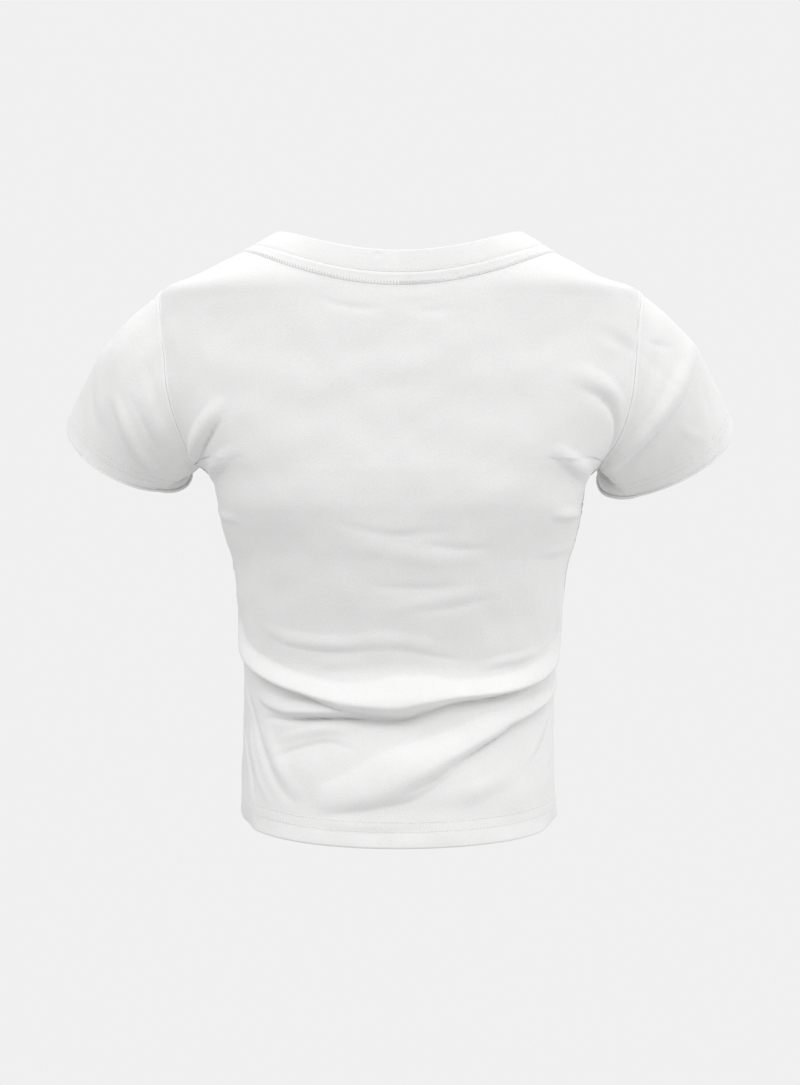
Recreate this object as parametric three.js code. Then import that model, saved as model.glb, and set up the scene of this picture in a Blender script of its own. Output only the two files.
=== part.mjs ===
// A cropped, short-sleeved T-shirt in white cotton jersey, open and rounded as when it is worn.
// Five cut pieces: front, back, two sleeves and a neckband, each a closed wall of cloth.
// Millimetres. +Z is up, +X is the wearer's left and -Y the front. The origin lies midway
// between the neck ends of the shoulder seams, where the wearer's shoulders carry the shirt.

import * as THREE from "three";

// ---- Driving sizes ----

const CLOTH = 1.5; // one layer of jersey
const HEM = { depth: 18, extra: 0.8 }; // the hem's second layer, folded to the inside
const SEAM_GAP = 0.3; // between neighbouring pieces
const NECKLINE = { halfWidth: 109.5, backDrop: 30, frontDrop: 100, frontCurve: 1.2 };
const BAND = { rise: 13.3, backTop: -6, frontTop: -77, halfWidth: 87.5, lean: 0.95, proud: 0.5, wall: 2 };
const SHOULDER_END = -26.5; // height where shoulder seam meets armhole
const UNDERARM = -146;
const HEM_SIDE = -389; // height of the hem at the side seams
const HEM_DIP = { back: 12, front: -11 }; // how much lower the hem is at centre back and centre front
const COLUMNS = { neckline: 13, shoulder: 5 }; // facets across half a panel
const SLEEVE_RINGS = 12;
const TOP_FADE = 5; // how soon a panel's rows level out below the neckline and shoulder,
const HEM_FADE = 6; // and above the hem
const ROUND_SHOULDER = -53; // down to here the shoulder curves over

// Heights of the facet rows down a panel, at its side edge and at the centre of the back and of the
// front, and the number of rows that end there. They lie closer together where the folds are.
const ROWS = [
  { edge: SHOULDER_END, back: -NECKLINE.backDrop, front: -NECKLINE.frontDrop, backRows: 0, frontRows: 0 },
  { edge: -29, back: -39, front: -107, backRows: 1, frontRows: 1 },
  { edge: -34.5, back: -48, front: -113, backRows: 1, frontRows: 1 },
  { edge: -42.5, back: -57, front: -119, backRows: 1, frontRows: 1 },
  { edge: -53, back: -67, front: -125, backRows: 1, frontRows: 1 },
  { edge: UNDERARM, back: -150, front: -185, backRows: 11, frontRows: 11 },
  { edge: -250, back: -252, front: -262, backRows: 8, frontRows: 6 },
  { edge: -346, back: -354, front: -341, backRows: 19, frontRows: 9 },
  {
    edge: HEM_SIDE,
    back: HEM_SIDE - HEM_DIP.back,
    front: HEM_SIDE - HEM_DIP.front,
    backRows: 6,
    frontRows: 4,
  },
];

// The torso's level sections: half width at the side line, depth behind and in front of it at
// the centre, and how square the oval is (2 is an ellipse).
const SECTIONS = [
  { z: 8, width: 92, back: 60, front: 31, square: 3 },
  { z: 0, width: 109.5, back: 68, front: 36, square: 3 },
  { z: -8, width: 128, back: 75, front: 42, square: 3 },
  { z: -16, width: 143.5, back: 80.5, front: 47, square: 2.9 },
  { z: -26.5, width: 166, back: 84.5, front: 53, square: 2.65 },
  { z: -36, width: 172, back: 86.5, front: 58, square: 2.35 },
  { z: -50, width: 176, back: 88, front: 64, square: 2.2 },
  { z: -70, width: 177, back: 89, front: 71, square: 2.25 },
  { z: -90, width: 174, back: 90, front: 79, square: 2.4 },
  { z: -110, width: 167, back: 90.5, front: 87, square: 2.5 },
  { z: -128, width: 155.5, back: 91.5, front: 94, square: 2.6 },
  { z: -146, width: 139.5, back: 92.5, front: 101, square: 2.75 },
  { z: -153, width: 132.5, back: 93, front: 103, square: 2.8 },
  { z: -161, width: 128.5, back: 93, front: 105, square: 2.85 },
  { z: -173, width: 126.8, back: 92.3, front: 107.5, square: 2.8 },
  { z: -185, width: 125.3, back: 90, front: 109, square: 2.6 },
  { z: -199, width: 122, back: 86.8, front: 108.5, square: 2.35 },
  { z: -213, width: 118, back: 83.3, front: 107, square: 2.2 },
  { z: -241, width: 114, back: 76.5, front: 101, square: 2.15 },
  { z: -269, width: 111, back: 70.5, front: 94, square: 2.1 },
  { z: -297, width: 109.2, back: 72.5, front: 90, square: 2.1 },
  { z: -325, width: 109.2, back: 80, front: 88, square: 2.1 },
  { z: -353, width: 110, back: 87, front: 88, square: 2.15 },
  { z: -389, width: 110.5, back: 93, front: 88, square: 2.2 },
  { z: -405, width: 110.5, back: 95, front: 88, square: 2.2 },
];

// Half width of the shirt at the armhole seams, seen from behind and from the front.
const ARMHOLE = [
  { z: -26.5, back: 166, front: 166 },
  { z: -46, back: 163, front: 161 },
  { z: -68, back: 161, front: 156 },
  { z: -89.5, back: 159, front: 152 },
  { z: -103.5, back: 156.4, front: 149 },
  { z: -120.5, back: 152, front: 146 },
  { z: -134, back: 146.5, front: 143 },
  { z: -146, back: 139.5, front: 139.5 },
];

// The sleeve's opening, for the wearer's left: an oval tilted outwards and forwards.
const CUFF = {
  centre: new THREE.Vector3(190, -28, -135.5),
  axis: new THREE.Vector3(0.465, -0.454, -0.76).normalize(),
  tall: 51, // from the centre up to the top, and
  low: { left: 44, right: 53 }, // down to the underarm
  deep: 47,
  twist: 0.6, // radians that the underarm seam turns towards the back between armhole and opening
};

// The largest folds of the torso. Each runs from one point through a second to a third, as x and z
// seen from the side it is on, and stands out by height, falling away over the lengths above and
// below its crest. A height under 0 is a trough.
const TORSO_FOLDS = [
  { side: "back", from: [109, -258], via: [74, -300], to: [-6, -308], height: 8, above: 18, below: 10 },
  { side: "back", from: [-109, -258], via: [-74, -298], to: [6, -308], height: 8, above: 18, below: 10 },
  { side: "back", from: [60, -306], via: [0, -308], to: [-62, -303], height: 4, above: 26, below: 9 },
  { side: "back", from: [-108, -306], via: [-62, -340], to: [24, -369], height: 7, above: 22, below: 13 },
  { side: "back", from: [103, -304], via: [64, -311], to: [24, -311], height: 4, above: 9, below: 8 },
  { side: "back", from: [102, -304], via: [95, -338], to: [68, -374], height: 4, above: 12, below: 9 },
  { side: "back", from: [107, -322], via: [103, -348], to: [95, -376], height: 3, above: 8, below: 8 },
  { side: "back", from: [88, -345], via: [60, -332], to: [34, -336], height: -3, above: 10, below: 10 },
  { side: "back", from: [143, -138], via: [132, -121], to: [117, -102], height: 5, above: 9, below: 8 },
  { side: "back", from: [131, -151], via: [124, -146], to: [112, -139], height: 3, above: 7, below: 7 },
  { side: "back", from: [-134, -155], via: [-124, -147], to: [-110, -137], height: 5, above: 9, below: 8 },
  { side: "back", from: [-126, -99], via: [-146, -112], to: [-143, -135], height: -5, above: 9, below: 11 },
  { side: "back", from: [-127, -182], via: [-118, -178], to: [-106, -174], height: 3, above: 8, below: 7 },
  { side: "back", from: [34, -193], via: [-14, -195], to: [-62, -200], height: -2, above: 12, below: 14 },
  { side: "front", from: [108, -262], via: [62, -290], to: [-10, -297], height: 6, above: 20, below: 13 },
  { side: "front", from: [-108, -262], via: [-58, -302], to: [22, -316], height: 6, above: 20, below: 13 },
  { side: "front", from: [106, -308], via: [66, -332], to: [20, -346], height: 4, above: 17, below: 13 },
  { side: "front", from: [-130, -146], via: [-114, -132], to: [-94, -121], height: 4, above: 11, below: 10 },
  { side: "front", from: [130, -148], via: [113, -136], to: [92, -127], height: 4, above: 11, below: 10 },
];

// The largest folds of the two sleeves, given in the same way.
const SLEEVE_FOLDS = {
  left: [
    { side: "back", from: [200, -103], via: [187, -124], to: [169, -151], height: 4, above: 9, below: 10 },
    { side: "back", from: [174, -86], via: [169, -108], to: [161, -130], height: -3, above: 8, below: 8 },
    { side: "back", from: [215, -82], via: [215, -102], to: [213, -122], height: -2, above: 8, below: 8 },
    { side: "front", from: [196, -80], via: [186, -106], to: [166, -130], height: 4, above: 11, below: 11 },
  ],
  right: [
    { side: "back", from: [-205, -62], via: [-189, -106], to: [-145, -148], height: 5, above: 13, below: 10 },
    { side: "back", from: [-179, -62], via: [-169, -90], to: [-158, -120], height: -3, above: 8, below: 9 },
    { side: "front", from: [-198, -84], via: [-186, -108], to: [-168, -132], height: 4, above: 9, below: 9 },
  ],
};
const FOLD_STEPS = 12; // straight stretches that make up a crest
const FOLD_END = 0.3; // share of a fold's length over which it dies out at each end
const FOLD_SAG = 0.3; // how far a crest hangs down for each millimetre that it stands out
const SLEEVE_SAG = 0.1;

// ---- Helpers ----

// One column of a table as a smooth function of z that doesn't overshoot its rows.
function column(rows, name) {
  const secants = rows.slice(1).map((row, i) => (row[name] - rows[i][name]) / (row.z - rows[i].z));
  const slopes = rows.map((row, i) => {
    const [before, after] = [secants[i - 1] ?? secants[i], secants[i] ?? secants[i - 1]];
    return before * after > 0 ? (2 * before * after) / (before + after) : 0;
  });
  return (z) => {
    const next = rows.findIndex((row) => row.z < z);
    const i = next < 0 ? rows.length - 2 : Math.max(0, next - 1);
    const step = rows[i + 1].z - rows[i].z;
    const t = Math.min(1, Math.max(0, (z - rows[i].z) / step));
    const [t2, t3] = [t * t, t * t * t];
    const ends = (2 * t3 - 3 * t2 + 1) * rows[i][name] + (3 * t2 - 2 * t3) * rows[i + 1][name];
    return ends + step * ((t3 - 2 * t2 + t) * slopes[i] + (t3 - t2) * slopes[i + 1]);
  };
}

const mix = (a, b, share) => a + (b - a) * share;

// The point of a quadratic curve that passes through a fold's three points.
function foldPoint([x0, z0], [x1, z1], [x2, z2], t) {
  const [a, b, c] = [(1 - t) * (1 - 2 * t), 4 * t * (1 - t), t * (2 * t - 1)];
  return [a * x0 + b * x1 + c * x2, a * z0 + b * z1 + c * z2];
}

// How far one fold moves the cloth out at a place on the flattened cloth. The crest is a list of
// points there, and above and below are told apart by height.
function foldHeight(fold, crest, across, z) {
  let best = { distance: Infinity };
  for (let i = 1; i < crest.length; i++) {
    const [[s0, z0], [s1, z1]] = [crest[i - 1], crest[i]];
    const [ds, dz] = [s1 - s0, z1 - z0];
    const part = Math.min(1, Math.max(0, ((across - s0) * ds + (z - z0) * dz) / (ds * ds + dz * dz)));
    const nearZ = z0 + part * dz;
    const distance = Math.hypot(across - s0 - part * ds, z - nearZ);
    if (distance >= best.distance) continue;
    best = { distance, up: z > nearZ, along: (i - 1 + part) / (crest.length - 1) };
  }
  const reach = best.up ? fold.above : fold.below;
  if (best.distance >= reach) return 0;
  const taper = Math.sin((Math.PI / 2) * Math.min(1, best.along / FOLD_END, (1 - best.along) / FOLD_END));
  return fold.height * taper * Math.cos((Math.PI / 2) * (best.distance / reach)) ** 2;
}

// A direction square to a surface, from a function that gives its points.
function normalOf(pointAt, u, v, du, dv) {
  const alongU = pointAt(u + du, v).sub(pointAt(u - du, v));
  const alongV = pointAt(u, v + dv).sub(pointAt(u, v - dv));
  return alongU.cross(alongV).normalize();
}

// ---- The torso's form ----

const width = column(SECTIONS, "width");
const depth = { back: column(SECTIONS, "back"), front: column(SECTIONS, "front") };
const square = column(SECTIONS, "square");
const armhole = { back: column(ARMHOLE, "back"), front: column(ARMHOLE, "front") };

// Centre to rim of a unit section, in the direction of a turn.
function formReach(turn, z) {
  const n = square(z);
  return (Math.abs(Math.sin(turn)) ** n + Math.abs(Math.cos(turn)) ** n) ** (-1 / n);
}

// The plain oval form. turn is the angle from centre back, positive towards +X.
function formPoint(turn, z) {
  const [sin, cos, reach] = [Math.sin(turn), Math.cos(turn), formReach(turn, z)];
  const deep = cos > 0 ? depth.back(z) : depth.front(z);
  return new THREE.Vector3(width(z) * reach * sin, deep * reach * cos, z);
}

// The share of the form's half width at a turn, and the turn, counted from the centre of its own
// side, at which the form has that share.
const widthShare = (turn, z) => Math.sin(turn) * formReach(turn, z);
function ownTurn(share, z) {
  const n = square(z);
  return Math.atan2(share, (1 - Math.min(1, share) ** n) ** (1 / n));
}

// The turn at which the form has a given x.
function turnAt(side, x, z) {
  const turn = Math.sign(x) * ownTurn(Math.abs(x) / width(z), z);
  return side === "back" ? turn : Math.PI - turn;
}

// Length round the torso from centre back to a turn, near enough for placing folds.
function around(turn, z) {
  const deep = (depth.back(z) + depth.front(z)) / 2;
  return turn * Math.sqrt((width(z) ** 2 + deep ** 2) / 2);
}

const torsoCrests = TORSO_FOLDS.map((fold) =>
  Array.from({ length: FOLD_STEPS + 1 }, (_, i) => {
    const [x, z] = foldPoint(fold.from, fold.via, fold.to, i / FOLD_STEPS);
    return [around(turnAt(fold.side, x, z), z), z];
  }),
);

const TURN_STEP = 0.004; // radians, and
const Z_STEP = 0.4; // millimetres, for measuring slopes

// The torso with its folds. Turns are counted on from the side that a fold is on, so that the
// count never jumps under a fold.
function torsoPoint(turn, z) {
  const across = {
    back: around(turn > Math.PI ? turn - 2 * Math.PI : turn, z),
    front: around(turn < 0 ? turn + 2 * Math.PI : turn, z),
  };
  const outBy = (fold, i) => foldHeight(fold, torsoCrests[i], across[fold.side], z);
  const out = TORSO_FOLDS.reduce((sum, fold, i) => sum + outBy(fold, i), 0);
  const point = formPoint(turn, z);
  if (out === 0) return point;
  const normal = normalOf(formPoint, turn, z, TURN_STEP, -Z_STEP);
  return point.addScaledVector(normal, out).add(new THREE.Vector3(0, 0, -FOLD_SAG * out));
}

const torsoNormal = (turn, z) => normalOf(torsoPoint, turn, z, TURN_STEP, -Z_STEP);

// ---- Seams ----

// The neckline seam at an angle round the neck: 0 is centre back, and 90 degrees the left shoulder.
function neckline(angle) {
  const [sin, cos] = [Math.sin(angle), Math.cos(angle)];
  const back = cos > 0;
  const z = back ? -NECKLINE.backDrop * cos ** 2 : -NECKLINE.frontDrop * (-cos) ** NECKLINE.frontCurve;
  const x = NECKLINE.halfWidth * sin;
  return { turn: turnAt(back ? "back" : "front", x, z), z };
}

// The hem's height at a turn.
function hemHeight(turn) {
  const cos = Math.cos(turn);
  return HEM_SIDE - Math.abs(cos) * (cos > 0 ? HEM_DIP.back : HEM_DIP.front);
}

// The facet rows down a panel, as heights at the side edge and at the centre.
function panelRows(side) {
  const places = [{ edge: ROWS[0].edge, centre: ROWS[0][side] }];
  ROWS.forEach((row, i) => {
    const count = row[`${side}Rows`];
    for (let k = 1; k <= count; k++) {
      const share = k / count;
      const above = ROWS[i - 1];
      places.push({ edge: mix(above.edge, row.edge, share), centre: mix(above[side], row[side], share) });
    }
  });
  return places;
}
const rows = { back: panelRows("back"), front: panelRows("front") };
const ARMHOLE_ROWS = rows.back.findIndex((row) => row.edge <= UNDERARM);

// The turn, counted from the centre of its own side, of the edge of a panel: along the shoulder and
// side seams, and at any height, armhole included.
const seamTurn = (side, z) => Math.PI / 2 - SEAM_GAP / 2 / depth[side](z);
function edgeTurn(side, z) {
  if (z >= SHOULDER_END || z <= UNDERARM) return seamTurn(side, z);
  return Math.min(seamTurn(side, z), ownTurn(armhole[side](z) / width(z), z));
}

// ---- Solids ----

// A closed wall from two grids of points with the same layout, outer and inner. A grid is a list of
// rows, and wrap joins its last column to its first.
function wallGeometry(outer, inner, wrap) {
  const [rows, columns] = [outer.length, outer[0].length];
  const points = [...outer.flat(), ...inner.flat()];
  const at = (layer, row, col) => layer * rows * columns + row * columns + (col % columns);
  const index = [];
  const face = (a, b, c, d) => index.push(a, b, c, a, c, d);
  const facing = outer.map((line, row) => line.map((p, col) => p.clone().sub(inner[row][col]).normalize()));
  const agree = (row, col, row2, col2) => facing[row][col % columns].dot(facing[row2][col2 % columns]);
  const lastColumn = wrap ? columns : columns - 1;
  for (let col = 0; col < lastColumn; col++) {
    for (let row = 0; row < rows - 1; row++) {
      const outside = [at(0, row, col), at(0, row + 1, col), at(0, row + 1, col + 1), at(0, row, col + 1)];
      const inside = [at(1, row, col), at(1, row, col + 1), at(1, row + 1, col + 1), at(1, row + 1, col)];
      // Each square is split along the diagonal on which the cloth bends less.
      if (agree(row, col, row + 1, col + 1) < agree(row + 1, col, row, col + 1)) {
        outside.push(outside.shift());
        inside.push(inside.shift());
      }
      face(...outside);
      face(...inside);
    }
    face(at(0, 0, col), at(0, 0, col + 1), at(1, 0, col + 1), at(1, 0, col));
    const end = rows - 1;
    face(at(0, end, col), at(1, end, col), at(1, end, col + 1), at(0, end, col + 1));
  }
  if (!wrap) {
    const end = columns - 1;
    for (let row = 0; row < rows - 1; row++) {
      face(at(0, row, 0), at(1, row, 0), at(1, row + 1, 0), at(0, row + 1, 0));
      face(at(0, row, end), at(0, row + 1, end), at(1, row + 1, end), at(1, row, end));
    }
  }
  const geometry = new THREE.BufferGeometry();
  geometry.setAttribute("position", new THREE.Float32BufferAttribute(points.flatMap((p) => p.toArray()), 3));
  geometry.setIndex(index);
  geometry.computeVertexNormals();
  return geometry;
}

const hemWall = (toHem) => CLOTH + (toHem <= HEM.depth ? HEM.extra : 0);

// Where a row has a given share of its facets behind it, counted from the centre to the side: the
// share of the form's half width, and the height. The neckline, shoulder and hem still have to bend it.
function plainPlace(side, row, share) {
  const spread = edgeTurn(side, Math.min(row.edge, ROUND_SHOULDER));
  const edge = widthShare(edgeTurn(side, row.edge), row.edge);
  const narrowing = 1 - (1 - edge) * share ** 2;
  const across = (narrowing * Math.sin(share * spread)) / Math.sin(spread);
  return { across, z: mix(row.centre, row.edge, share) };
}

// The top edge of half a panel: the neckline, then the shoulder seam.
function panelTop(side, column) {
  if (column >= COLUMNS.neckline) {
    return { across: 1, z: SHOULDER_END * ((column - COLUMNS.neckline) / COLUMNS.shoulder) };
  }
  const quarter = (Math.PI / 2) * (column / COLUMNS.neckline);
  const { turn, z } = neckline(side === "back" ? quarter : Math.PI - quarter);
  return { across: widthShare(turn, z), z };
}

// A facet corner of half a panel, as a turn from the panel's own centre and a height. column counts
// from the centre to the side.
function panelPlace(side, column, row) {
  const share = column / (COLUMNS.neckline + COLUMNS.shoulder);
  const base = plainPlace(side, row, share);
  const start = plainPlace(side, rows[side][0], share);
  const top = panelTop(side, column);
  const down = (row.edge - SHOULDER_END) / (HEM_SIDE - SHOULDER_END);
  const fade = (1 - down) ** TOP_FADE;
  const hemBend = down ** HEM_FADE * HEM_DIP[side] * (1 - share - Math.cos(share * (Math.PI / 2)));
  const z = base.z + fade * (top.z - start.z) + hemBend;
  const across = base.across + fade * (top.across - start.across);
  return { turn: Math.min(seamTurn(side, z), ownTurn(across, z)), z };
}

// The front or back panel.
function panelGeometry(side) {
  const half = COLUMNS.neckline + COLUMNS.shoulder;
  const [outer, inner] = [[], []];
  rows[side].forEach((row, index) => {
    const [outerRow, innerRow] = [[], []];
    for (let column = -half; column <= half; column++) {
      const { turn: own, z } = panelPlace(side, Math.abs(column), row);
      const sign = column < 0 ? -1 : 1;
      const turn = side === "back" ? -sign * own : sign * (Math.PI - own);
      const point = torsoPoint(turn, z);
      const atArmhole = Math.abs(column) === half && index <= ARMHOLE_ROWS;
      const wall = hemWall(z - hemHeight(turn));
      const inwards = atArmhole
        ? armholeMitre(Math.sign(turn), side === "back" ? index : RING - index)
        : torsoNormal(turn, z).multiplyScalar(-wall);
      outerRow.push(point);
      innerRow.push(point.clone().add(inwards));
    }
    outer.push(outerRow);
    inner.push(innerRow);
  });
  return wallGeometry(outer, inner, false);
}

// ---- Sleeves ----

const RING = 2 * ARMHOLE_ROWS; // facets round a sleeve

// The armhole seam's place on the left of the torso. station 0 is the shoulder's end, and the
// stations run down the back to the underarm and up the front again.
function armholePlace(station) {
  const back = station <= ARMHOLE_ROWS;
  const z = rows.back[back ? station : RING - station].edge;
  const own = edgeTurn(back ? "back" : "front", z);
  return { turn: back ? own : Math.PI - own, z };
}

const mirrored = (point, sign) => new THREE.Vector3(sign * point.x, point.y, point.z);

// The sleeve's opening at a station, drawn on the wearer's left. side is 1 for the left sleeve.
function cuffPoint(side, station) {
  const round = (2 * Math.PI * station) / RING;
  const angle = round - (CUFF.twist * (1 - Math.cos(round))) / 2;
  const up = new THREE.Vector3(-CUFF.axis.z, 0, CUFF.axis.x).normalize();
  const behind = new THREE.Vector3().crossVectors(up, CUFF.axis).normalize();
  if (behind.y < 0) behind.negate();
  const tall = Math.cos(angle) > 0 ? CUFF.tall : CUFF.low[side > 0 ? "left" : "right"];
  return CUFF.centre
    .clone()
    .addScaledVector(up, tall * Math.cos(angle))
    .addScaledVector(behind, CUFF.deep * Math.sin(angle));
}

// The plain sleeve surface between the armhole and the opening, without folds. It leaves the
// armhole outwards and reaches the opening along the opening's axis. side is 1 for the left.
function sleeveForm(side, station, along) {
  const at = ((station % RING) + RING) % RING;
  const [low, part] = [Math.floor(at), at - Math.floor(at)];
  const ring = (k) => {
    const place = armholePlace(k % RING);
    return mirrored(torsoPoint(side * place.turn, place.z), side);
  };
  const start = ring(low).lerp(ring(low + 1), part);
  const end = cuffPoint(side, at);
  const length = start.distanceTo(end);
  const angle = (2 * Math.PI * at) / RING;
  const top = (1 + Math.cos(angle)) / 2;
  const leave = new THREE.Vector3(mix(0.5, 0.8, top), 0.3 * Math.sin(angle) - 0.1, mix(-0.62, -0.58, top))
    .normalize()
    .multiplyScalar(mix(1, CAP_ROUNDNESS, top));
  const [t, t2, t3] = [along, along ** 2, along ** 3];
  const point = start
    .multiplyScalar(2 * t3 - 3 * t2 + 1)
    .addScaledVector(leave, length * (t3 - 2 * t2 + t))
    .addScaledVector(end, 3 * t2 - 2 * t3)
    .addScaledVector(CUFF.axis, length * (t3 - t2));
  return mirrored(point, side);
}

const CAP_ROUNDNESS = 1.5; // how far the top of the sleeve keeps going outwards before it falls
const STATION_STEP = 0.05;
const ALONG_STEP = 0.01;

// Outward direction of the plain sleeve.
function sleeveNormal(side, station, along) {
  const form = (s, a) => sleeveForm(side, s, a);
  const inside = Math.min(1 - ALONG_STEP, Math.max(ALONG_STEP, along));
  return normalOf(form, station, inside, -side * STATION_STEP, ALONG_STEP);
}

// From the outer to the inner edge of the wall at the armhole seam, halfway between the directions
// that the torso's wall and the sleeve's wall would take.
function armholeMitre(side, station) {
  const { turn, z } = armholePlace(station % RING);
  const torso = torsoNormal(side * turn, z);
  const between = torso.clone().add(sleeveNormal(side, station, 0)).normalize();
  return between.multiplyScalar(-CLOTH / Math.max(MITRE_LEAST, between.dot(torso)));
}
const MITRE_LEAST = 0.6; // keeps the mitre short where the two walls meet at a sharp angle

function sleeveGeometry(side) {
  const folds = SLEEVE_FOLDS[side > 0 ? "left" : "right"].map((fold) => ({
    fold,
    crest: Array.from({ length: FOLD_STEPS + 1 }, (_, i) =>
      foldPoint(fold.from, fold.via, fold.to, i / FOLD_STEPS),
    ),
  }));
  const [outer, inner] = [[], []];
  for (let ring = 0; ring <= SLEEVE_RINGS; ring++) {
    const along = ring / SLEEVE_RINGS;
    const [outerRow, innerRow] = [[], []];
    for (let station = 0; station < RING; station++) {
      const point = sleeveForm(side, station, along);
      const normal = sleeveNormal(side, station, along);
      if (ring === 0) {
        const inwards = armholeMitre(side, station);
        point.add(seamStep(side, station, inwards));
        outerRow.push(point);
        innerRow.push(point.clone().add(inwards));
        continue;
      }
      const out = folds.reduce((sum, { fold, crest }) => {
        const facing = Math.max(0, normal.y * (fold.side === "back" ? 1 : -1));
        return sum + foldHeight(fold, crest, point.x, point.z) * Math.min(1, 2 * facing);
      }, 0);
      const toHem = (1 - along) * point.distanceTo(sleeveForm(side, station, 0));
      point.addScaledVector(normal, out * Math.sin((Math.PI / 2) * Math.min(1, 3 * along)));
      point.z -= SLEEVE_SAG * out;
      outerRow.push(point);
      innerRow.push(point.clone().addScaledVector(normal, -hemWall(toHem)));
    }
    outer.push(side > 0 ? outerRow : outerRow.reverse());
    inner.push(side > 0 ? innerRow : innerRow.reverse());
  }
  return wallGeometry(outer, inner, true);
}

// The small step that parts the sleeve from the torso at their seam, along the sleeve's cloth.
function seamStep(side, station, inwards) {
  const seam = sleeveForm(side, station + 1, 0).sub(sleeveForm(side, station - 1, 0)).normalize();
  const leaving = sleeveForm(side, station, ALONG_STEP).sub(sleeveForm(side, station, 0));
  const step = seam.cross(inwards).normalize().multiplyScalar(SEAM_GAP);
  return step.dot(leaving) < 0 ? step.negate() : step;
}

// ---- Neckband ----

function bandGeometry() {
  const columns = 4 * COLUMNS.neckline;
  const shares = [0, 1 / 3, 2 / 3, 1]; // up the band
  const [outer, inner] = [[], []];
  for (const share of shares) {
    const [outerRow, innerRow] = [[], []];
    for (let col = 0; col < columns; col++) {
      const angle = (2 * Math.PI * col) / columns;
      const { turn, z } = neckline(angle);
      const foot = torsoPoint(turn, z);
      const normal = torsoNormal(turn, z);
      const cos = Math.cos(angle);
      const fall =
        cos > 0
          ? (BAND.rise - BAND.backTop) * cos ** 2
          : (BAND.rise - BAND.frontTop) * (-cos) ** NECKLINE.frontCurve;
      const crown = new THREE.Vector3(BAND.halfWidth * Math.sin(angle), BAND.lean * foot.y, BAND.rise - fall);
      const up = crown.clone().sub(foot).normalize();
      const start = foot.clone().addScaledVector(up, SEAM_GAP);
      const point = start.lerp(crown, share).addScaledVector(normal, BAND.proud);
      outerRow.push(point);
      innerRow.push(point.clone().addScaledVector(normal, -BAND.wall));
    }
    outer.unshift(outerRow.reverse());
    inner.unshift(innerRow.reverse());
  }
  return wallGeometry(outer, inner, true);
}

// ---- The shirt ----

const jersey = { color: 0xf7f7f6, roughness: 0.9, metalness: 0 };

const shirt = new THREE.Group();
function addPiece(name, geometry, material) {
  const mesh = new THREE.Mesh(geometry, new THREE.MeshStandardMaterial(material));
  mesh.name = name;
  shirt.add(mesh);
}

addPiece("back", panelGeometry("back"), jersey);
addPiece("front", panelGeometry("front"), jersey);
addPiece("sleeve_left", sleeveGeometry(1), jersey);
addPiece("sleeve_right", sleeveGeometry(-1), jersey);
addPiece("neckband", bandGeometry(), { ...jersey, color: 0xf4f4f3 });

export default shirt;
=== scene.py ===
import bpy
import numpy as np
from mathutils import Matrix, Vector


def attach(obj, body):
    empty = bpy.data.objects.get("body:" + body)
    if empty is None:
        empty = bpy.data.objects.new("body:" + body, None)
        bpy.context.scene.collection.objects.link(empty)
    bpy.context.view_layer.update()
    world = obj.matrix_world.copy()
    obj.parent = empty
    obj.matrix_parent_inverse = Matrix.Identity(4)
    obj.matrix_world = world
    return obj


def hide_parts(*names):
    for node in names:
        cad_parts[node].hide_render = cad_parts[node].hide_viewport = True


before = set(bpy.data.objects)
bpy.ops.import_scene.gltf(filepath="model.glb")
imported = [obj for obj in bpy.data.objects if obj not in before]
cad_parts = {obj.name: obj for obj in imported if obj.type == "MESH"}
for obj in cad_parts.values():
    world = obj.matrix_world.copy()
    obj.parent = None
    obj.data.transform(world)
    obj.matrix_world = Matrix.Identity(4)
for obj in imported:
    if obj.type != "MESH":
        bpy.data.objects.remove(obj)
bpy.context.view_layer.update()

# ---- The shirt's sizes ----

# As in the part's source, but the neckband's top is 2 mm narrower on each side.


def table(columns, *rows):
    """Rows of numbers under named columns."""
    return [dict(zip(columns.split(), row)) for row in rows]


SEAM_GAP = 0.3  # between neighbouring pieces
NECKLINE = {"half_width": 109.5, "back_drop": 30, "front_drop": 100, "front_curve": 1.2}
# The neckband's top edge: its height at the sides, centre back and centre front, and its half width.
BAND = {"rise": 13.3, "back_top": -6, "front_top": -77, "half_width": 85.5, "lean": 0.95}
SHOULDER_END = -26.5  # height where shoulder seam meets armhole
UNDERARM = -146
HEM_SIDE = -389  # height of the hem at the side seams, and how much lower it is at either centre
HEM_DIP = {"back": 12, "front": -11}
TOP_FADE = 5  # how soon a panel's rows level out below the neckline and shoulder,
HEM_FADE = 6  # and above the hem
ROUND_SHOULDER = -53  # down to here the shoulder curves over

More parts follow.
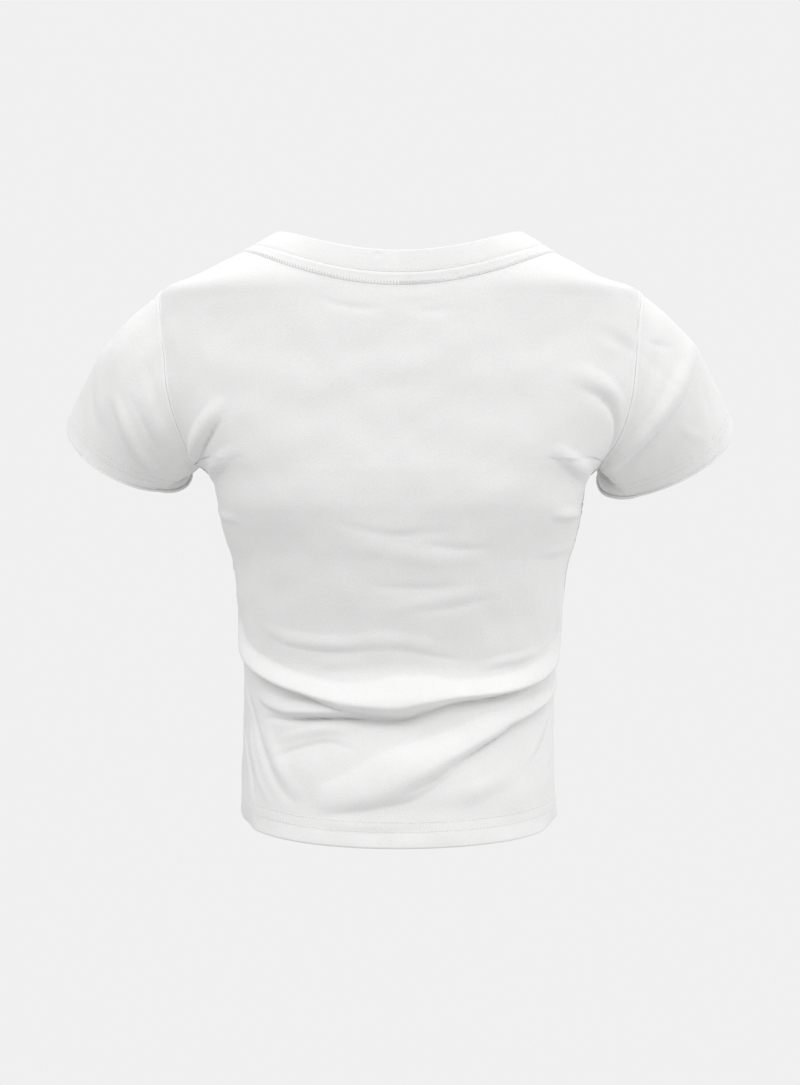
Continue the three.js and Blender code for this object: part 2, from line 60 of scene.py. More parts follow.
# The torso's form: half width, depth to the back and to the front, and how square its oval is.
SECTIONS = table(
    "z width back front square",
    (8, 92, 60, 31, 3),
    (0, 109.5, 68, 36, 3),
    (-8, 128, 75, 42, 3),
    (-16, 143.5, 80.5, 47, 2.9),
    (-26.5, 166, 84.5, 53, 2.65),
    (-36, 172, 86.5, 58, 2.35),
    (-50, 176, 88, 64, 2.2),
    (-70, 177, 89, 71, 2.25),
    (-90, 174, 90, 79, 2.4),
    (-110, 167, 90.5, 87, 2.5),
    (-128, 155.5, 91.5, 94, 2.6),
    (-146, 139.5, 92.5, 101, 2.75),
    (-153, 132.5, 93, 103, 2.8),
    (-161, 128.5, 93, 105, 2.85),
    (-173, 126.8, 92.3, 107.5, 2.8),
    (-185, 125.3, 90, 109, 2.6),
    (-199, 122, 86.8, 108.5, 2.35),
    (-213, 118, 83.3, 107, 2.2),
    (-241, 114, 76.5, 101, 2.15),
    (-269, 111, 70.5, 94, 2.1),
    (-297, 109.2, 72.5, 90, 2.1),
    (-325, 109.2, 80, 88, 2.1),
    (-353, 110, 87, 88, 2.15),
    (-389, 110.5, 93, 88, 2.2),
    (-405, 110.5, 95, 88, 2.2),
)
# The armhole's distance from the middle of the shirt, behind and in front.
ARMHOLE = table(
    "z back front",
    (-26.5, 166, 166),
    (-46, 163, 161),
    (-68, 161, 156),
    (-89.5, 159, 152),
    (-103.5, 156.4, 149),
    (-120.5, 152, 146),
    (-134, 146.5, 143),
    (-146, 139.5, 139.5),
)
# A sleeve's opening, for the wearer's left: an oval with its height above and below the centre.
# low has the left sleeve under 1 and the right under -1. twist turns the underarm towards the back.
CUFF = {
    "centre": (190, -28, -135.5),
    "axis": (0.465, -0.454, -0.76),
    "tall": 51,
    "low": {1: 44, -1: 53},
    "deep": 47,
    "twist": 0.6,
}
CAP_ROUNDNESS = 1.5  # how far a sleeve's top keeps going outwards before it falls


# ---- Form ----


def curve_weights(t):
    """Weights at t of a curve's start, its end, and the slopes there."""
    t2, t3 = t * t, t**3
    return 2 * t3 - 3 * t2 + 1, 3 * t2 - 2 * t3, t3 - 2 * t2 + t, t3 - t2


def column(rows, name):
    """One column of a table as a smooth function of z that doesn't overshoot its rows."""
    zs = np.array([row["z"] for row in rows][::-1], float)
    values = np.array([row[name] for row in rows][::-1], float)
    secants = np.diff(values) / np.diff(zs)
    before, after = np.r_[secants[:1], secants], np.r_[secants, secants[-1:]]
    total = np.where(before + after == 0, 1, before + after)
    slopes = np.where(before * after > 0, 2 * before * after / total, 0)

    def at(z):
        z = np.clip(z, zs[0], zs[-1])
        i = np.clip(np.searchsorted(zs, z, side="right") - 1, 0, len(zs) - 2)
        step = zs[i + 1] - zs[i]
        start, end, leave, arrive = curve_weights((z - zs[i]) / step)
        ends = start * values[i] + end * values[i + 1]
        return ends + step * (leave * slopes[i] + arrive * slopes[i + 1])

    return at


width = column(SECTIONS, "width")
depth = {"back": column(SECTIONS, "back"), "front": column(SECTIONS, "front")}
square = column(SECTIONS, "square")
armhole = {"back": column(ARMHOLE, "back"), "front": column(ARMHOLE, "front")}


def mix(a, b, share):
    return a + (b - a) * share


def unit(vectors):
    length = np.linalg.norm(vectors, axis=-1, keepdims=True)
    return vectors / np.maximum(length, 1e-9)


def round_angles(count):
    return 2 * np.pi * np.arange(count) / count


def form_reach(turn, z):
    n = square(z)
    return (np.abs(np.sin(turn)) ** n + np.abs(np.cos(turn)) ** n) ** (-1 / n)


def form_point(turn, z):
    """The plain oval torso. turn is the angle from centre back, positive towards +X."""
    reach = form_reach(turn, z)
    deep = np.where(np.cos(turn) > 0, depth["back"](z), depth["front"](z))
    return np.stack([width(z) * reach * np.sin(turn), deep * reach * np.cos(turn), z + 0 * turn], -1)


def normal_of(point_at, u, v, du, dv):
    """A direction square to a surface, from a function that gives its points."""
    along_u = point_at(u + du, v) - point_at(u - du, v)
    along_v = point_at(u, v + dv) - point_at(u, v - dv)
    return unit(np.cross(along_u, along_v))


def form_normal(turn, z):
    return normal_of(form_point, turn, z, 0.004, -0.4)


def width_share(turn, z):
    """The share of the form's half width at a turn."""
    return np.sin(turn) * form_reach(turn, z)


def own_turn(share, z):
    """The turn, from the centre of its own side, at which the form has a share of its half width."""
    n = square(z)
    return np.arctan2(share, (1 - np.minimum(1, share) ** n) ** (1 / n))


def turn_at(side, x, z):
    turn = np.sign(x) * own_turn(np.abs(x) / width(z), z)
    return turn if side == "back" else np.pi - turn


def around(turn, z):
    """Length round the torso from centre back to a turn, near enough for placing folds."""
    deep = (depth["back"](z) + depth["front"](z)) / 2
    return turn * np.sqrt((width(z) ** 2 + deep**2) / 2)


# ---- Folds ----
# A fold runs through places divided by commas, as seen from the side it is on. Each place gives x, z,
# how far the cloth stands out there (under 0 is a trough), and the reach of the fold to the left
# and to the right of its run, or one reach for both. Run from left to right, left is above.

X, Z, HEIGHT, LEFT, RIGHT = range(5)

# How a fold falls away from its crest: the power for each side, and how far the crest hangs for
# each millimetre that it stands out. A crease is sharp along its middle.
SHAPES = {
    "soft": {"left": 2, "right": 2, "sag": 0.1},
    "roll": {"left": 1.25, "right": 1.25, "sag": 0.35},
    "lip": {"left": 2, "right": 1.25, "sag": 0.3},
    "shelf": {"left": 1.1, "right": 1.1, "sag": 0.3},
    "crease": {"sag": 0},
}


def folds(text):
    """Shape and way of each fold in a table. A line that ends in a comma goes on in the next one."""
    lines = text.strip().replace(",\n", ",").split("\n")
    return [line.split(maxsplit=1) for line in lines if line[0] != "#"]


BACK_FOLDS = folds("""
# the roll round the waist
shelf 112 -240 0 5 4, 111 -256 2 6 5, 108 -268 4 6.5 4, 105 -275 6 6.5 4, 99 -281.5 8.5 6.5 4,
    90 -287.5 9.5 7 4, 78 -293 10 7.5 4.5, 64 -297.5 10.5 8 5, 50 -302 11.5 9.5 5.5, 35 -305.5 12.5 12 6,
    17 -307.5 14 16 7, 0 -307.5 14.5 19.5 8, -12 -305 14 16.5 7.5, -23 -303 13 15 7, -34 -301 12 10.5 6,
    -44 -300 11 8.5 5.5, -57 -299 10.5 7.5 5, -71 -297 10 8 4.5, -85 -293 10 8.5 4.5,
    -95 -288.5 9 8.5 4.5, -102 -282 7.5 7 4, -106 -274 5 6 4, -108.5 -264 3.5 6 4, -110 -252 2 6 5,
    -112 -240 0 5
crease -14 -313 0 4 5, -34 -307.5 -2 3 4, -57 -304.5 -2.5 2.5 4, -71 -302.5 -2.5 2.5 3.5,
    -84 -298.5 -1.2 2.5 3, -92 -294 0 2
# the second, shorter roll under it on the left
shelf 98 -303 0 5 4, 90 -308.5 2.5 7 4, 78 -312 4.5 8 4, 64 -312.5 6 8 3.5, 50 -312 5.5 7 3.5,
    38 -311.5 3.5 5 3.5, 26 -312 0 4 3
crease 94 -320 0 4, 86 -318.5 -1.5 4 5, 77 -318.5 -3 3 6, 64 -317 -5 2.5 6, 50 -316 -6 2.5 6,
    35 -315.5 -6.5 3.5 8, 17 -316.5 -6 5 10, 0 -316.5 -5.5 5 10, -14 -313.5 -3.5 4 9, -30 -309.5 0 4 6
# the long fold that falls from the right side to the lower left
shelf -109 -288 0 4 5, -106 -298 3 3.5 6, -98 -307 5.5 3.5 7, -84 -315 6.5 4 9, -72 -320 7 4.5 10,
    -66 -323.5 7.5 6 12, -53 -330.5 8 6 14, -33 -340.5 8 9 16, -20 -347 8 12.5 18, 0 -355.5 7.5 16 20,
    20 -364 5 12 18, 40 -370 3 9 14, 60 -374 0 8 12
crease -84 -320 0 3 4, -66 -329.5 -1.2 3 5, -53 -337 -2.2 3.5 6, -33 -348 -2.6 5 8, -20 -357 -3 6 9,
    0 -367 0 7 9
soft -20 -322 0 8, -48 -316 1.2 8 9, -74 -309 1 6, -90 -303 0 5
# upright creases low on the left
crease 109 -280 0 4, 105 -303 -2.2 5 4, 100 -324 -2.6 6 4.5, 94 -340 -3 8 6, 87 -355 -2.4 8 6,
    79 -367 -1.2 7 6, 68 -375 0 5
crease 110 -318 0 3, 105.5 -342 -2 4 3.5, 101.5 -359 -2.4 4 3.5, 97 -377 0 3
soft 106 -316 0 4, 101 -342 1.2 5 4, 95 -362 1 5 4, 86 -378 0 4
soft 92 -322 0 5, 86 -340 1.4 7, 78 -356 1 7 6, 66 -370 0 5
# the small crescent inside them
crease 90 -348 0 4 9, 78 -341 -1.2 4 13, 64 -335.5 -1.5 4 15, 50 -332.5 -1.4 4 15, 40 -334 -1 4 13,
    28 -339 0 4 9
soft 84 -334 0 4, 66 -327 1.2 5, 46 -324 1.2 5, 30 -327 0 4
# slack low on the right
soft -104 -303 0 4, -99 -322 1.3 5, -92 -340 1 6 5, -82 -354 0 5
soft -106 -326 0 4, -102 -350 1.2 5 4, -96 -370 0 4
crease -106 -308 0 3, -102 -324 -1.4 3 5, -95 -340 -1.7 3 6, -84 -354 0 3 5
crease -107 -334 0 3, -103 -350 -1.3 3 4, -96 -364 0 3 4
soft -20 -372 0 8, -52 -364 1.2 9, -80 -352 0 8
soft 70 -381 0 6, 20 -386 0.8 8 6, -40 -381 0 8 6
# slight creases across the middle of the back
crease 50 -185 0 5, 28 -191 -0.7 6 7, 4 -195 -1.1 5 9, -14 -194 -0.9 5 8, -36 -192 0 5
crease -12 -201 0 4, -30 -203 -0.9 4 7, -48 -204 -1 4 7, -66 -203 0 4
soft 36 -203 0 6, 10 -206 0.7 8, -24 -211 0.8 8, -62 -211 0 6
crease 24 -228 0 4 5, 6 -230 -0.7 5 8, -18 -230 -0.9 4 8, -44 -227 0 4 5
crease -10 -246 0 4, -26 -245 -0.7 4 6, -46 -241 -0.9 4 6, -68 -236 0 4
soft 12 -247 0 6, -14 -240 0.8 6, -42 -235 0.8 6, -70 -230 0 5
lip 96 -256 0 5 4, 78 -264 1.1 7 5, 60 -267 1.3 7 5, 38 -268 1.1 7 5, 14 -265 0.9 7 5, -8 -267 0.8 7 5,
    -32 -272 0 6 5
crease 82 -269 0 4 5, 58 -273 -1 4 7, 30 -273 -0.9 4 7, 2 -272 -0.8 4 7, -24 -276 -0.9 4 6, -52 -280 0 4 5
lip -52 -285 0 4, -66 -281 1.2 5 4, -82 -278 1.5 5 4, -96 -273 0 4
soft 64 -282 0 5, 44 -281 0.9 6, 22 -279 0 5
# short wrinkles at the sides
lip 128 -176 0 4, 120 -182 1.5 4, 108 -185 0 4
shelf -101 -182 0 3, -108 -181 2.4 4.5 4, -115 -180.5 3 4.5 4, -121 -180 2 4, -127 -180 0 3
lip -94 -209 0 3, -104 -206 1.1 4, -113 -204 0.8 4, -120 -203 0 3
# pulls from the left underarm
roll 118 -103 0 5, 124 -112 2.6 6, 131 -121 3.8 7, 137 -130 4 7, 141 -139 3 6, 143 -147 0 5
crease 119 -117 0 4, 126 -127 -1.8 4 5, 133 -137 -2.2 4 5, 139 -146 0 4
roll 110 -136 0 4, 118 -142 1.6 5, 126 -149 2.2 5, 131 -157 0 4
# pulls from the right underarm
shelf -102 -136 0 4, -110 -142 2.2 5.5 5, -119 -148 3.6 6 5.5, -125.5 -152 2.4 6 5.5, -131 -156 0 5
crease -118 -98 0 5 6, -128 -100 -1.6 6 8, -137 -104 -3 5 9, -144 -111 -3.8 5 9, -147.5 -119 -3.6 4 9,
    -147 -129 -2.5 3 8, -143 -140 0 3 6
soft -110 -86 0 8, -126 -90 1.6 10 9, -142 -98 2.2 8 7, -152 -110 0 5
soft -128 -55 0 8, -142 -62 -1.1 8, -156 -68 -1 7, -163 -70 0 5
crease -157 -62 0 2, -156 -72 -0.8 2.5, -155 -84 0 2
crease -142 -30 0 2 3, -152 -31.5 -0.8 2 4, -162 -35 0 2 3
# pulls under the neckband
crease 60 -37 0 3 4, 42 -42 -0.9 3 6, 24 -45 -1 3 6, 10 -44 0 3 4
crease 4 -42 0 3 4, -14 -41 -0.8 3 5, -26 -39 0 3 4
soft 2 -44 0 4, -20 -47 -0.7 5 6, -44 -45 0 4
soft 60 -92 0 14, 0 -84 0.8 16, -60 -92 0 14
""")

FRONT_FOLDS = folds("""
# the waist's rolls, from either side past the centre
roll -111 -244 0 5, -107 -262 4 8 6, -94 -277 5.5 12 7, -72 -290 6 17 8, -46 -300 6 19 9,
    -18 -307 5 20 11, 8 -312 3.5 16 10, 34 -318 0 10 8
roll 6 -296 0 9 8, 26 -295 3 12 9, 50 -291 5 15 9, 76 -284 5.5 14 8, 96 -274 5 10 7, 107 -260 3.5 7 6,
    111 -242 0 5
lip 8 -348 0 12 10, 32 -344 2.5 15 11, 56 -336 4 16 11, 82 -324 4.5 13 9, 100 -311 4 10 7, 108 -298 0 6 5
crease -96 -300 0 4 5, -78 -309 -1.4 5 7, -52 -316 -1.8 5 8, -24 -322 0 5 6
soft -106 -318 0 5, -96 -338 1.6 6, -82 -358 1.2 7 6, -66 -372 0 5
soft -86 -330 0 6, -62 -340 1.4 8, -30 -352 1.2 10 9, 6 -360 0 8
crease 108 -318 0 4, 103 -340 -1.8 5 4, 95 -360 -1.4 5 4, 86 -374 0 4
soft -60 -378 0 7 6, -10 -374 0.9 9 7, 44 -377 0 7 6
# slack across the belly
crease -40 -222 0 5 6, -12 -228 -0.8 6 9, 18 -229 -0.8 6 9, 46 -224 0 5 6
soft -66 -252 0 6, -30 -259 1 8, 12 -262 1 8, 52 -256 0 6
lip -98 -236 0 4, -80 -245 1.2 6 5, -56 -250 0 5 4
crease 58 -243 0 4, 78 -238 -0.9 4 6, 98 -229 0 4
lip -126 -178 0 4, -116 -182 1.4 4, -102 -184 0 4
lip 98 -199 0 4, 110 -195 1.3 4, 120 -193 0 4
# pulls from the underarms over the chest
roll -134 -151 0 5, -125 -141 2.8 7 6, -112 -131 3.6 9 7, -96 -123 2.4 9 7, -78 -118 0 7 6
crease -128 -153 0 4 5, -114 -144 -1.5 4 6, -98 -137 0 4 5
roll 76 -124 0 7 6, 95 -128 2.4 9 7, 112 -135 3.6 9 7, 126 -144 2.8 7 6, 134 -153 0 5
crease 96 -140 0 4 5, 112 -147 -1.5 4 6, 127 -155 0 4 5
soft -146 -92 0 6, -136 -108 1.4 7, -122 -120 0 6
soft 146 -90 0 6, 137 -106 -1.2 7, 124 -118 0 6
# drape below the neckband
soft -66 -96 0 8, -34 -116 1 10, 2 -122 1.1 11, 36 -116 1 10, 68 -96 0 8
crease -20 -110 0 3 4, -4 -111 -0.7 3 5, 12 -110 0 3 4
soft -40 -160 0 12, 4 -166 0.9 15, 46 -158 0 12
""")

SLEEVE_FOLDS = {}
SLEEVE_FOLDS["left", "back"] = folds("""
soft 197 -96 0 5, 191 -111 2.2 6, 184 -127 3 6 7, 177 -141 3 6, 168 -151 1.5 5, 162 -156 0 4
crease 186 -98 0 4, 178 -112 -1.2 6, 170 -130 -2 7 6, 161 -146 0 6 5
crease 211 -80 0 3, 212.5 -98 -1.2 4, 211.5 -112 -1.1 4, 209 -124 0 3
soft 205 -86 0 5, 205 -106 1 6, 200 -124 0 5
soft 172 -74 0 5, 168 -92 -1.8 7 6, 162 -112 -2 7 5, 155 -130 0 6 4
crease 182 -102 0 2, 177 -107 -0.5 3, 171 -113 0 2
soft 186 -52 0 9, 193 -70 0.9 10, 196 -88 0 8
""")
SLEEVE_FOLDS["left", "front"] = folds("""
roll 199 -74 0 6, 193 -92 3 8, 184 -108 4 9 8, 173 -122 3 8 7, 162 -133 0 6 5
crease 186 -84 0 4, 176 -100 -1.4 5, 164 -116 0 5
soft 213 -86 0 5, 210 -102 1.2 6, 203 -116 0 5
""")
SLEEVE_FOLDS["right", "back"] = folds("""
soft -200 -56 0 9 7, -199 -72 2.5 12 8, -193 -88 4 13 9, -184 -104 4.6 12 9, -173 -119 4.6 10 8,
    -161 -133 4 8 7, -149 -144 2 6 5, -142 -150 0 5 4
crease -204 -70 0 4, -201 -84 -1.4 4 6, -192 -103 -2 4 7, -179 -120 -2.2 4 7, -166 -135 -2 4 6,
    -152 -148 0 4 5
soft -173 -62 0 5, -172 -78 -2.2 8 6, -166 -96 -2.2 8 5, -158 -114 -1.6 7 5, -150 -130 0 5 4
crease -167 -63 0 3 4, -177 -65 -1.5 3 6, -188 -66 0 3 5
crease -207 -88 0 2.5, -211 -100 -0.7 3, -214 -113 0 2.5
crease -211 -78 0 2.5, -217 -94 -0.6 3, -220 -106 0 2.5
soft -190 -118 0 5, -200 -126 0.8 6, -212 -128 0 5
""")
SLEEVE_FOLDS["right", "front"] = folds("""
roll -202 -78 0 6, -195 -95 3 8, -185 -110 4 8, -174 -124 3 7, -163 -135 0 5 6
crease -186 -82 0 4, -175 -98 -1.4 5, -164 -114 0 5
soft -214 -90 0 5, -210 -104 1.1 6, -203 -118 0 5
""")

# Broad soft bulges and hollows of the torso: side, x, z, height, and their reach across and up.
SWELLS = [
    ("back", -127, -8, -4.5, 24, 14),
    ("back", 133, -14, -1.2, 22, 12),
    ("back", 84, -205, -1.2, 30, 40),
    ("back", -150, -52, 1, 14, 14),
    ("back", 146, -60, 1.2, 20, 24),
    ("back", -40, -365, 1.4, 40, 18),
    ("back", 0, -284.5, -6, 85, 13),
    ("back", 0, -320, -3, 100, 22),
    ("back", 0, -402, 3.5, 150, 13),
    ("back", 122, -212, -2.3, 25, 34),
    ("back", -118, -214, -1.2, 25, 34),
    ("back", -110, -345, -2.3, 30, 55),
    ("back", -104, 2, -2.5, 14, 9),
    ("back", 106, -404, -5, 17, 17),
    ("back", -106, -404, -5, 17, 17),
    ("front", 0, -150, 1, 60, 40),
    ("front", 60, -205, 1, 40, 30),
]

SPAN_STEPS = 6  # straight stretches between two places of a fold


def crest_line(way):
    """A fold's places joined by a smooth curve, as rows of X, Z, HEIGHT, LEFT, RIGHT."""
    places = [place.split() for place in way.split(",")]
    places = np.array([place if len(place) == 5 else place + place[-1:] for place in places], float)
    ends = np.vstack([2 * places[0] - places[1], places, 2 * places[-1] - places[-2]])
    t = np.linspace(0, 1, SPAN_STEPS, endpoint=False)[:, None]
    spans = []
    for a, b, c, d in zip(ends, ends[1:], ends[2:], ends[3:]):
        curve = 2 * b + (c - a) * t + (2 * a - 5 * b + 4 * c - d) * t**2 + (3 * b - a - 3 * c + d) * t**3
        spans.append(curve / 2)
    line = np.vstack([*spans, places[-1:]])
    line[:, LEFT:] = np.maximum(line[:, LEFT:], 1)
    return line


def fold_relief(shape, line, across, z, left_sign):
    """How far a fold moves the cloth out, and how far that cloth hangs, at places (across, z).
    left_sign is 1 where across grows to the right of the view, and -1 where it grows to the left."""
    out = np.zeros(across.shape)
    reach = line[:, LEFT:].max()
    low, high = line[:, :2].min(0) - reach, line[:, :2].max(0) + reach
    near = (across > low[0]) & (across < high[0]) & (z > low[1]) & (z < high[1])
    if not near.any():
        return out, out
    place = np.stack([across[near], z[near]], -1)
    best = np.full(len(place), np.inf)
    here = np.zeros((len(place), 5))
    left = np.zeros(len(place), bool)
    for start, end in zip(line, line[1:]):
        run = end[:2] - start[:2]
        part = np.clip((place - start[:2]) @ run / max(run @ run, 1e-9), 0, 1)
        on_line = start + part[:, None] * (end - start)
        off = place - on_line[:, :2]
        distance = np.hypot(*off.T)
        closer = distance < best
        best = np.where(closer, distance, best)
        here[closer] = on_line[closer]
        turning = left_sign * (run[0] * off[:, 1] - run[1] * off[:, 0])
        left[closer] = turning[closer] > 0
    style = SHAPES[shape]
    share = np.clip(best / np.where(left, here[:, LEFT], here[:, RIGHT]), 0, 1)
    if shape == "crease":
        fall = (1 - share) ** 2
    else:
        fall = (1 - share**2) ** np.where(left, style["left"], style["right"])
    out[near] = here[:, HEIGHT] * fall
    return out, style["sag"] * np.abs(out)


def torso_line(side, way):
    """A fold's line with x turned into the length round the torso."""
    line = crest_line(way)
    line[:, X] = around(turn_at(side, line[:, X], line[:, Z]), line[:, Z])
    return line


TORSO_FOLDS = [("back", shape, torso_line("back", way)) for shape, way in BACK_FOLDS]
TORSO_FOLDS += [("front", shape, torso_line("front", way)) for shape, way in FRONT_FOLDS]

# Slight waves all over the cloth: length in millimetres, direction and start in radians, height.
RIPPLES = [
    (61, 0.4, 1.1, 0.35),
    (43, 1.9, 4.0, 0.22),
    (34, 1.2, 2.2, 0.16),
    (27, 2.6, 5.1, 0.11),
    (19, 0.9, 0.3, 0.06),
]
RIPPLE_TOP, RIPPLE_FADE = -20, 40  # the torso's waves start at this height and are full this far below


def ripple(across, z):
    total = np.zeros(np.shape(across))
    for length, direction, start, height in RIPPLES:
        phase = (across * np.cos(direction) + z * np.sin(direction)) * 2 * np.pi / length
        total += height * np.sin(phase + start + 0.8 * np.sin(phase / 2.7))
    return total


def torso(turn, z):
    """The torso's outer surface with its folds."""
    turn, z = np.broadcast_arrays(turn, z)
    counted = {
        "back": around(np.where(turn > np.pi, turn - 2 * np.pi, turn), z),
        "front": around(np.where(turn < 0, turn + 2 * np.pi, turn), z),
    }
    out = ripple(around(np.arcsin(np.sin(turn)), z), z) * np.clip((RIPPLE_TOP - z) / RIPPLE_FADE, 0, 1)
    hang = np.zeros(out.shape)
    for side, shape, line in TORSO_FOLDS:
        more, sag = fold_relief(shape, line, counted[side], z, -1)
        out = out + more
        hang = hang + sag
    for side, x, height_z, height, across_reach, up_reach in SWELLS:
        middle = around(turn_at(side, np.array(float(x)), height_z), height_z)
        far = ((counted[side] - middle) / across_reach) ** 2 + ((z - height_z) / up_reach) ** 2
        out = out + height * np.exp(-far)
    point = form_point(turn, z) + out[..., None] * form_normal(turn, z)
    point[..., 2] -= hang
    return point


# ---- Cloth ----

MM = 0.001
CLOTH = 1.1  # thickness of one layer
TOUCH = 0.05  # between sewn edges
HEM_PLY = 0.8  # the folded-up layer, inside
HEM_DEPTH = 18
BAND_WALL = 1.9
EDGE_STEPS = 4  # facets round a folded edge
SEAM_WIDTH = 0.9  # of a seam's dent, and of the ridge beside it
RIDGE_PLACE = 1.2  # from the seam
ARM_TOP, ARM_SPAN = -60, 60  # where an armhole's seam begins to flatten, and how far down it goes on
BODY_HEM_ROWS = (11, 17.2)  # twin stitching, above the bottom edge
SLEEVE_HEM_ROWS = (8.5, 13)
HEM_KICK = {"far": 6, "share": 0.5, "way": (0.4, 0.9)}  # a sleeve's opening swings out behind
BAND_ROWS = (1.5, 9)  # stitching above the neckline seam


def grid_normals(points, wrap):
    """Outward unit normals of a grid of points, rows by columns."""
    if wrap:
        across = np.roll(points, -1, 1) - np.roll(points, 1, 1)
    else:
        across = np.gradient(points, axis=1)
    normals = unit(np.cross(across, np.gradient(points, axis=0)))
    outwards = points - points.mean(1, keepdims=True)
    return normals * np.sign((normals * outwards).sum())


def run_length(points, axis):
    """Length along a grid's rows (axis 1) or columns (axis 0), from its first point."""
    steps = np.linalg.norm(np.diff(points, axis=axis), axis=-1)
    return np.insert(np.cumsum(steps, axis), 0, 0, axis)


def bell(distance, width):
    """1 in the middle, falling softly to 0 on either side."""
    return np.exp(-((distance / width) ** 2))


def wave(place, length, start=0):
    return np.sin(place * 2 * np.pi / length + start)


def beside_seam(distance):
    """1 on the ridge that a seam's allowance, ironed flat, makes beside it, falling to 0 on either side. It
    also places the painted highlight along that ridge.
    """
    return bell(distance - RIDGE_PLACE, SEAM_WIDTH)


def seam_relief(distance, dip, ridge):
    """The dent of a seam and the raised allowance beside it."""
    return ridge * beside_seam(distance) - dip * bell(distance, SEAM_WIDTH)


def lowness(z):
    """0 on the shoulder, 1 from a little above the underarm down."""
    return np.clip((ARM_TOP - z) / ARM_SPAN, 0, 1)


def hem_relief(to_edge, along, stitch_rows):
    """Stitching draws a hem in along its rows and puckers it a little."""
    relief = 0.16 * wave(along, 31, to_edge / 9) * bell(to_edge, 12)
    for number, row in enumerate(stitch_rows):
        pucker = 0.06 * wave(along, 7.3, number) + 0.05 * wave(along, 11.9)
        relief += (pucker - 0.06) * bell(to_edge - row, 1.1)
    middle = sum(stitch_rows) / len(stitch_rows)
    return relief + 0.1 * bell(to_edge - middle, 2.2)


def hem_wall(points, to_edge):
    """The cloth's thickness, doubled at the hem. Draws the last row back to make room for the fold."""
    points[-1] += unit(points[-2] - points[-1]) * (CLOTH + HEM_PLY) / 2
    return CLOTH + HEM_PLY * (to_edge < HEM_DEPTH)


def side_faces(rows, columns, outer_rows):
    """Faces that close a panel's two side edges, from its outer rows to the inner rows behind them."""
    faces = []
    for column, step in ((0, 1), (columns - 1, -1)):
        at = lambda row: row * columns + column
        for row in range(outer_rows - 1):
            mate = rows - 1 - row
            faces.append([at(row), at(mate), at(mate - 1), at(row + 1)][::step])
        edge = range(outer_rows - 1, rows - outer_rows + 1)
        faces.append([at(row) for row in edge][:: -step])
    return faces


def cloth_piece(name, outer, wall, along, to_edge, ridge_highlight, wrap):
    """A closed shell with the outer surface of a grid of points, whose last row is a folded edge.
    Its sixth argument gives, from 0 to 1, where the cloth is painted lighter as a highlight on the seams'
    ridges."""
    normals = grid_normals(outer, wrap)
    wall = np.broadcast_to(wall, outer.shape[:2])[..., None]
    inner = outer - normals * wall
    onwards = unit(outer[-1] - outer[-2])
    middle, half = (outer[-1] + inner[-1]) / 2, (outer[-1] - inner[-1]) / 2
    bend = [np.pi * k / EDGE_STEPS for k in range(1, EDGE_STEPS)]
    rounding = [middle + half * np.cos(a) + onwards * (wall[-1] / 2) * np.sin(a) for a in bend]
    layers = np.concatenate([outer, np.array(rounding), inner[::-1]])
    if wrap:
        along = np.hstack([along, 2 * along[:, -1:] - along[:, -2:-1]])
        to_edge = np.hstack([to_edge, to_edge[:, :1]])
    sides = []
    for values in (along, -to_edge):
        sides.append(np.concatenate([values, np.repeat(values[-1:], EDGE_STEPS - 1, 0), values[::-1]]))
    uv = np.stack(sides, -1) * MM

    rows, columns = layers.shape[:2]
    spans = columns if wrap else columns - 1
    row, col = (a.ravel() for a in np.meshgrid(np.arange(rows), np.arange(spans), indexing="ij"))
    corner_rows = np.stack([row, (row + 1) % rows, (row + 1) % rows, row], -1)
    corner_cols = np.stack([col, col, col + 1, col + 1], -1)
    faces = corner_rows * columns + corner_cols % columns
    points = layers.reshape(-1, 3) * MM
    a, b, c, d = (points[faces[:, k]] for k in range(4))
    ends = [] if wrap else side_faces(rows, columns, len(outer))
    if (a * np.cross(b, c) + a * np.cross(c, d)).sum() < 0:
        faces, corner_rows, corner_cols = faces[:, ::-1], corner_rows[:, ::-1], corner_cols[:, ::-1]
        ends = [face[::-1] for face in ends]

    mesh = bpy.data.meshes.new(name)
    mesh.from_pydata(points.tolist(), [], faces.tolist() + ends)
    corners = np.zeros((len(mesh.loops), 2))
    corners[: faces.size] = uv[corner_rows, corner_cols].reshape(-1, 2)
    mesh.uv_layers.new(name="cloth").data.foreach_set("uv", corners.ravel())
    # The painted highlight on the seams' ridges, kept on the points for the material.
    marks = np.zeros(len(points))
    marks[: ridge_highlight.size] = ridge_highlight.ravel()
    mesh.attributes.new("ridge_highlight", "FLOAT", "POINT").data.foreach_set("value", marks)
    cut_edge = np.concatenate([row == rows - 1, np.ones(len(ends), bool)])
    mesh.polygons.foreach_set("use_smooth", ~cut_edge)
    mesh.update()
    return linked(name, mesh)


def linked(name, data):
    """A new object in the scene."""
    obj = bpy.data.objects.new(name, data)
    bpy.context.scene.collection.objects.link(obj)
    return obj


# ---- Front and back ----

NECKLINE_SHARE = 13 / 18  # of half a panel's width, the rest is shoulder
SHARES = np.r_[np.linspace(0, 0.94, 77), np.linspace(0.94, 1, 17)[1:]]
HALF = len(SHARES) - 1

# Heights of rows at the panel's side edge and at its centre, and the number of rows that end there.
ROWS = table(
    "edge back front back_rows front_rows",
    (SHOULDER_END, -NECKLINE["back_drop"], -NECKLINE["front_drop"], 0, 0),
    (-29, -39, -107, 8, 8),
    (-34.5, -48, -113, 4, 4),
    (-42.5, -57, -119, 4, 4),
    (-53, -67, -125, 5, 5),
    (UNDERARM, -150, -185, 52, 52),
    (-250, -252, -262, 52, 44),
    (-346, -354, -341, 84, 62),
    (HEM_SIDE, HEM_SIDE - HEM_DIP["back"], HEM_SIDE - HEM_DIP["front"], 36, 34),
)


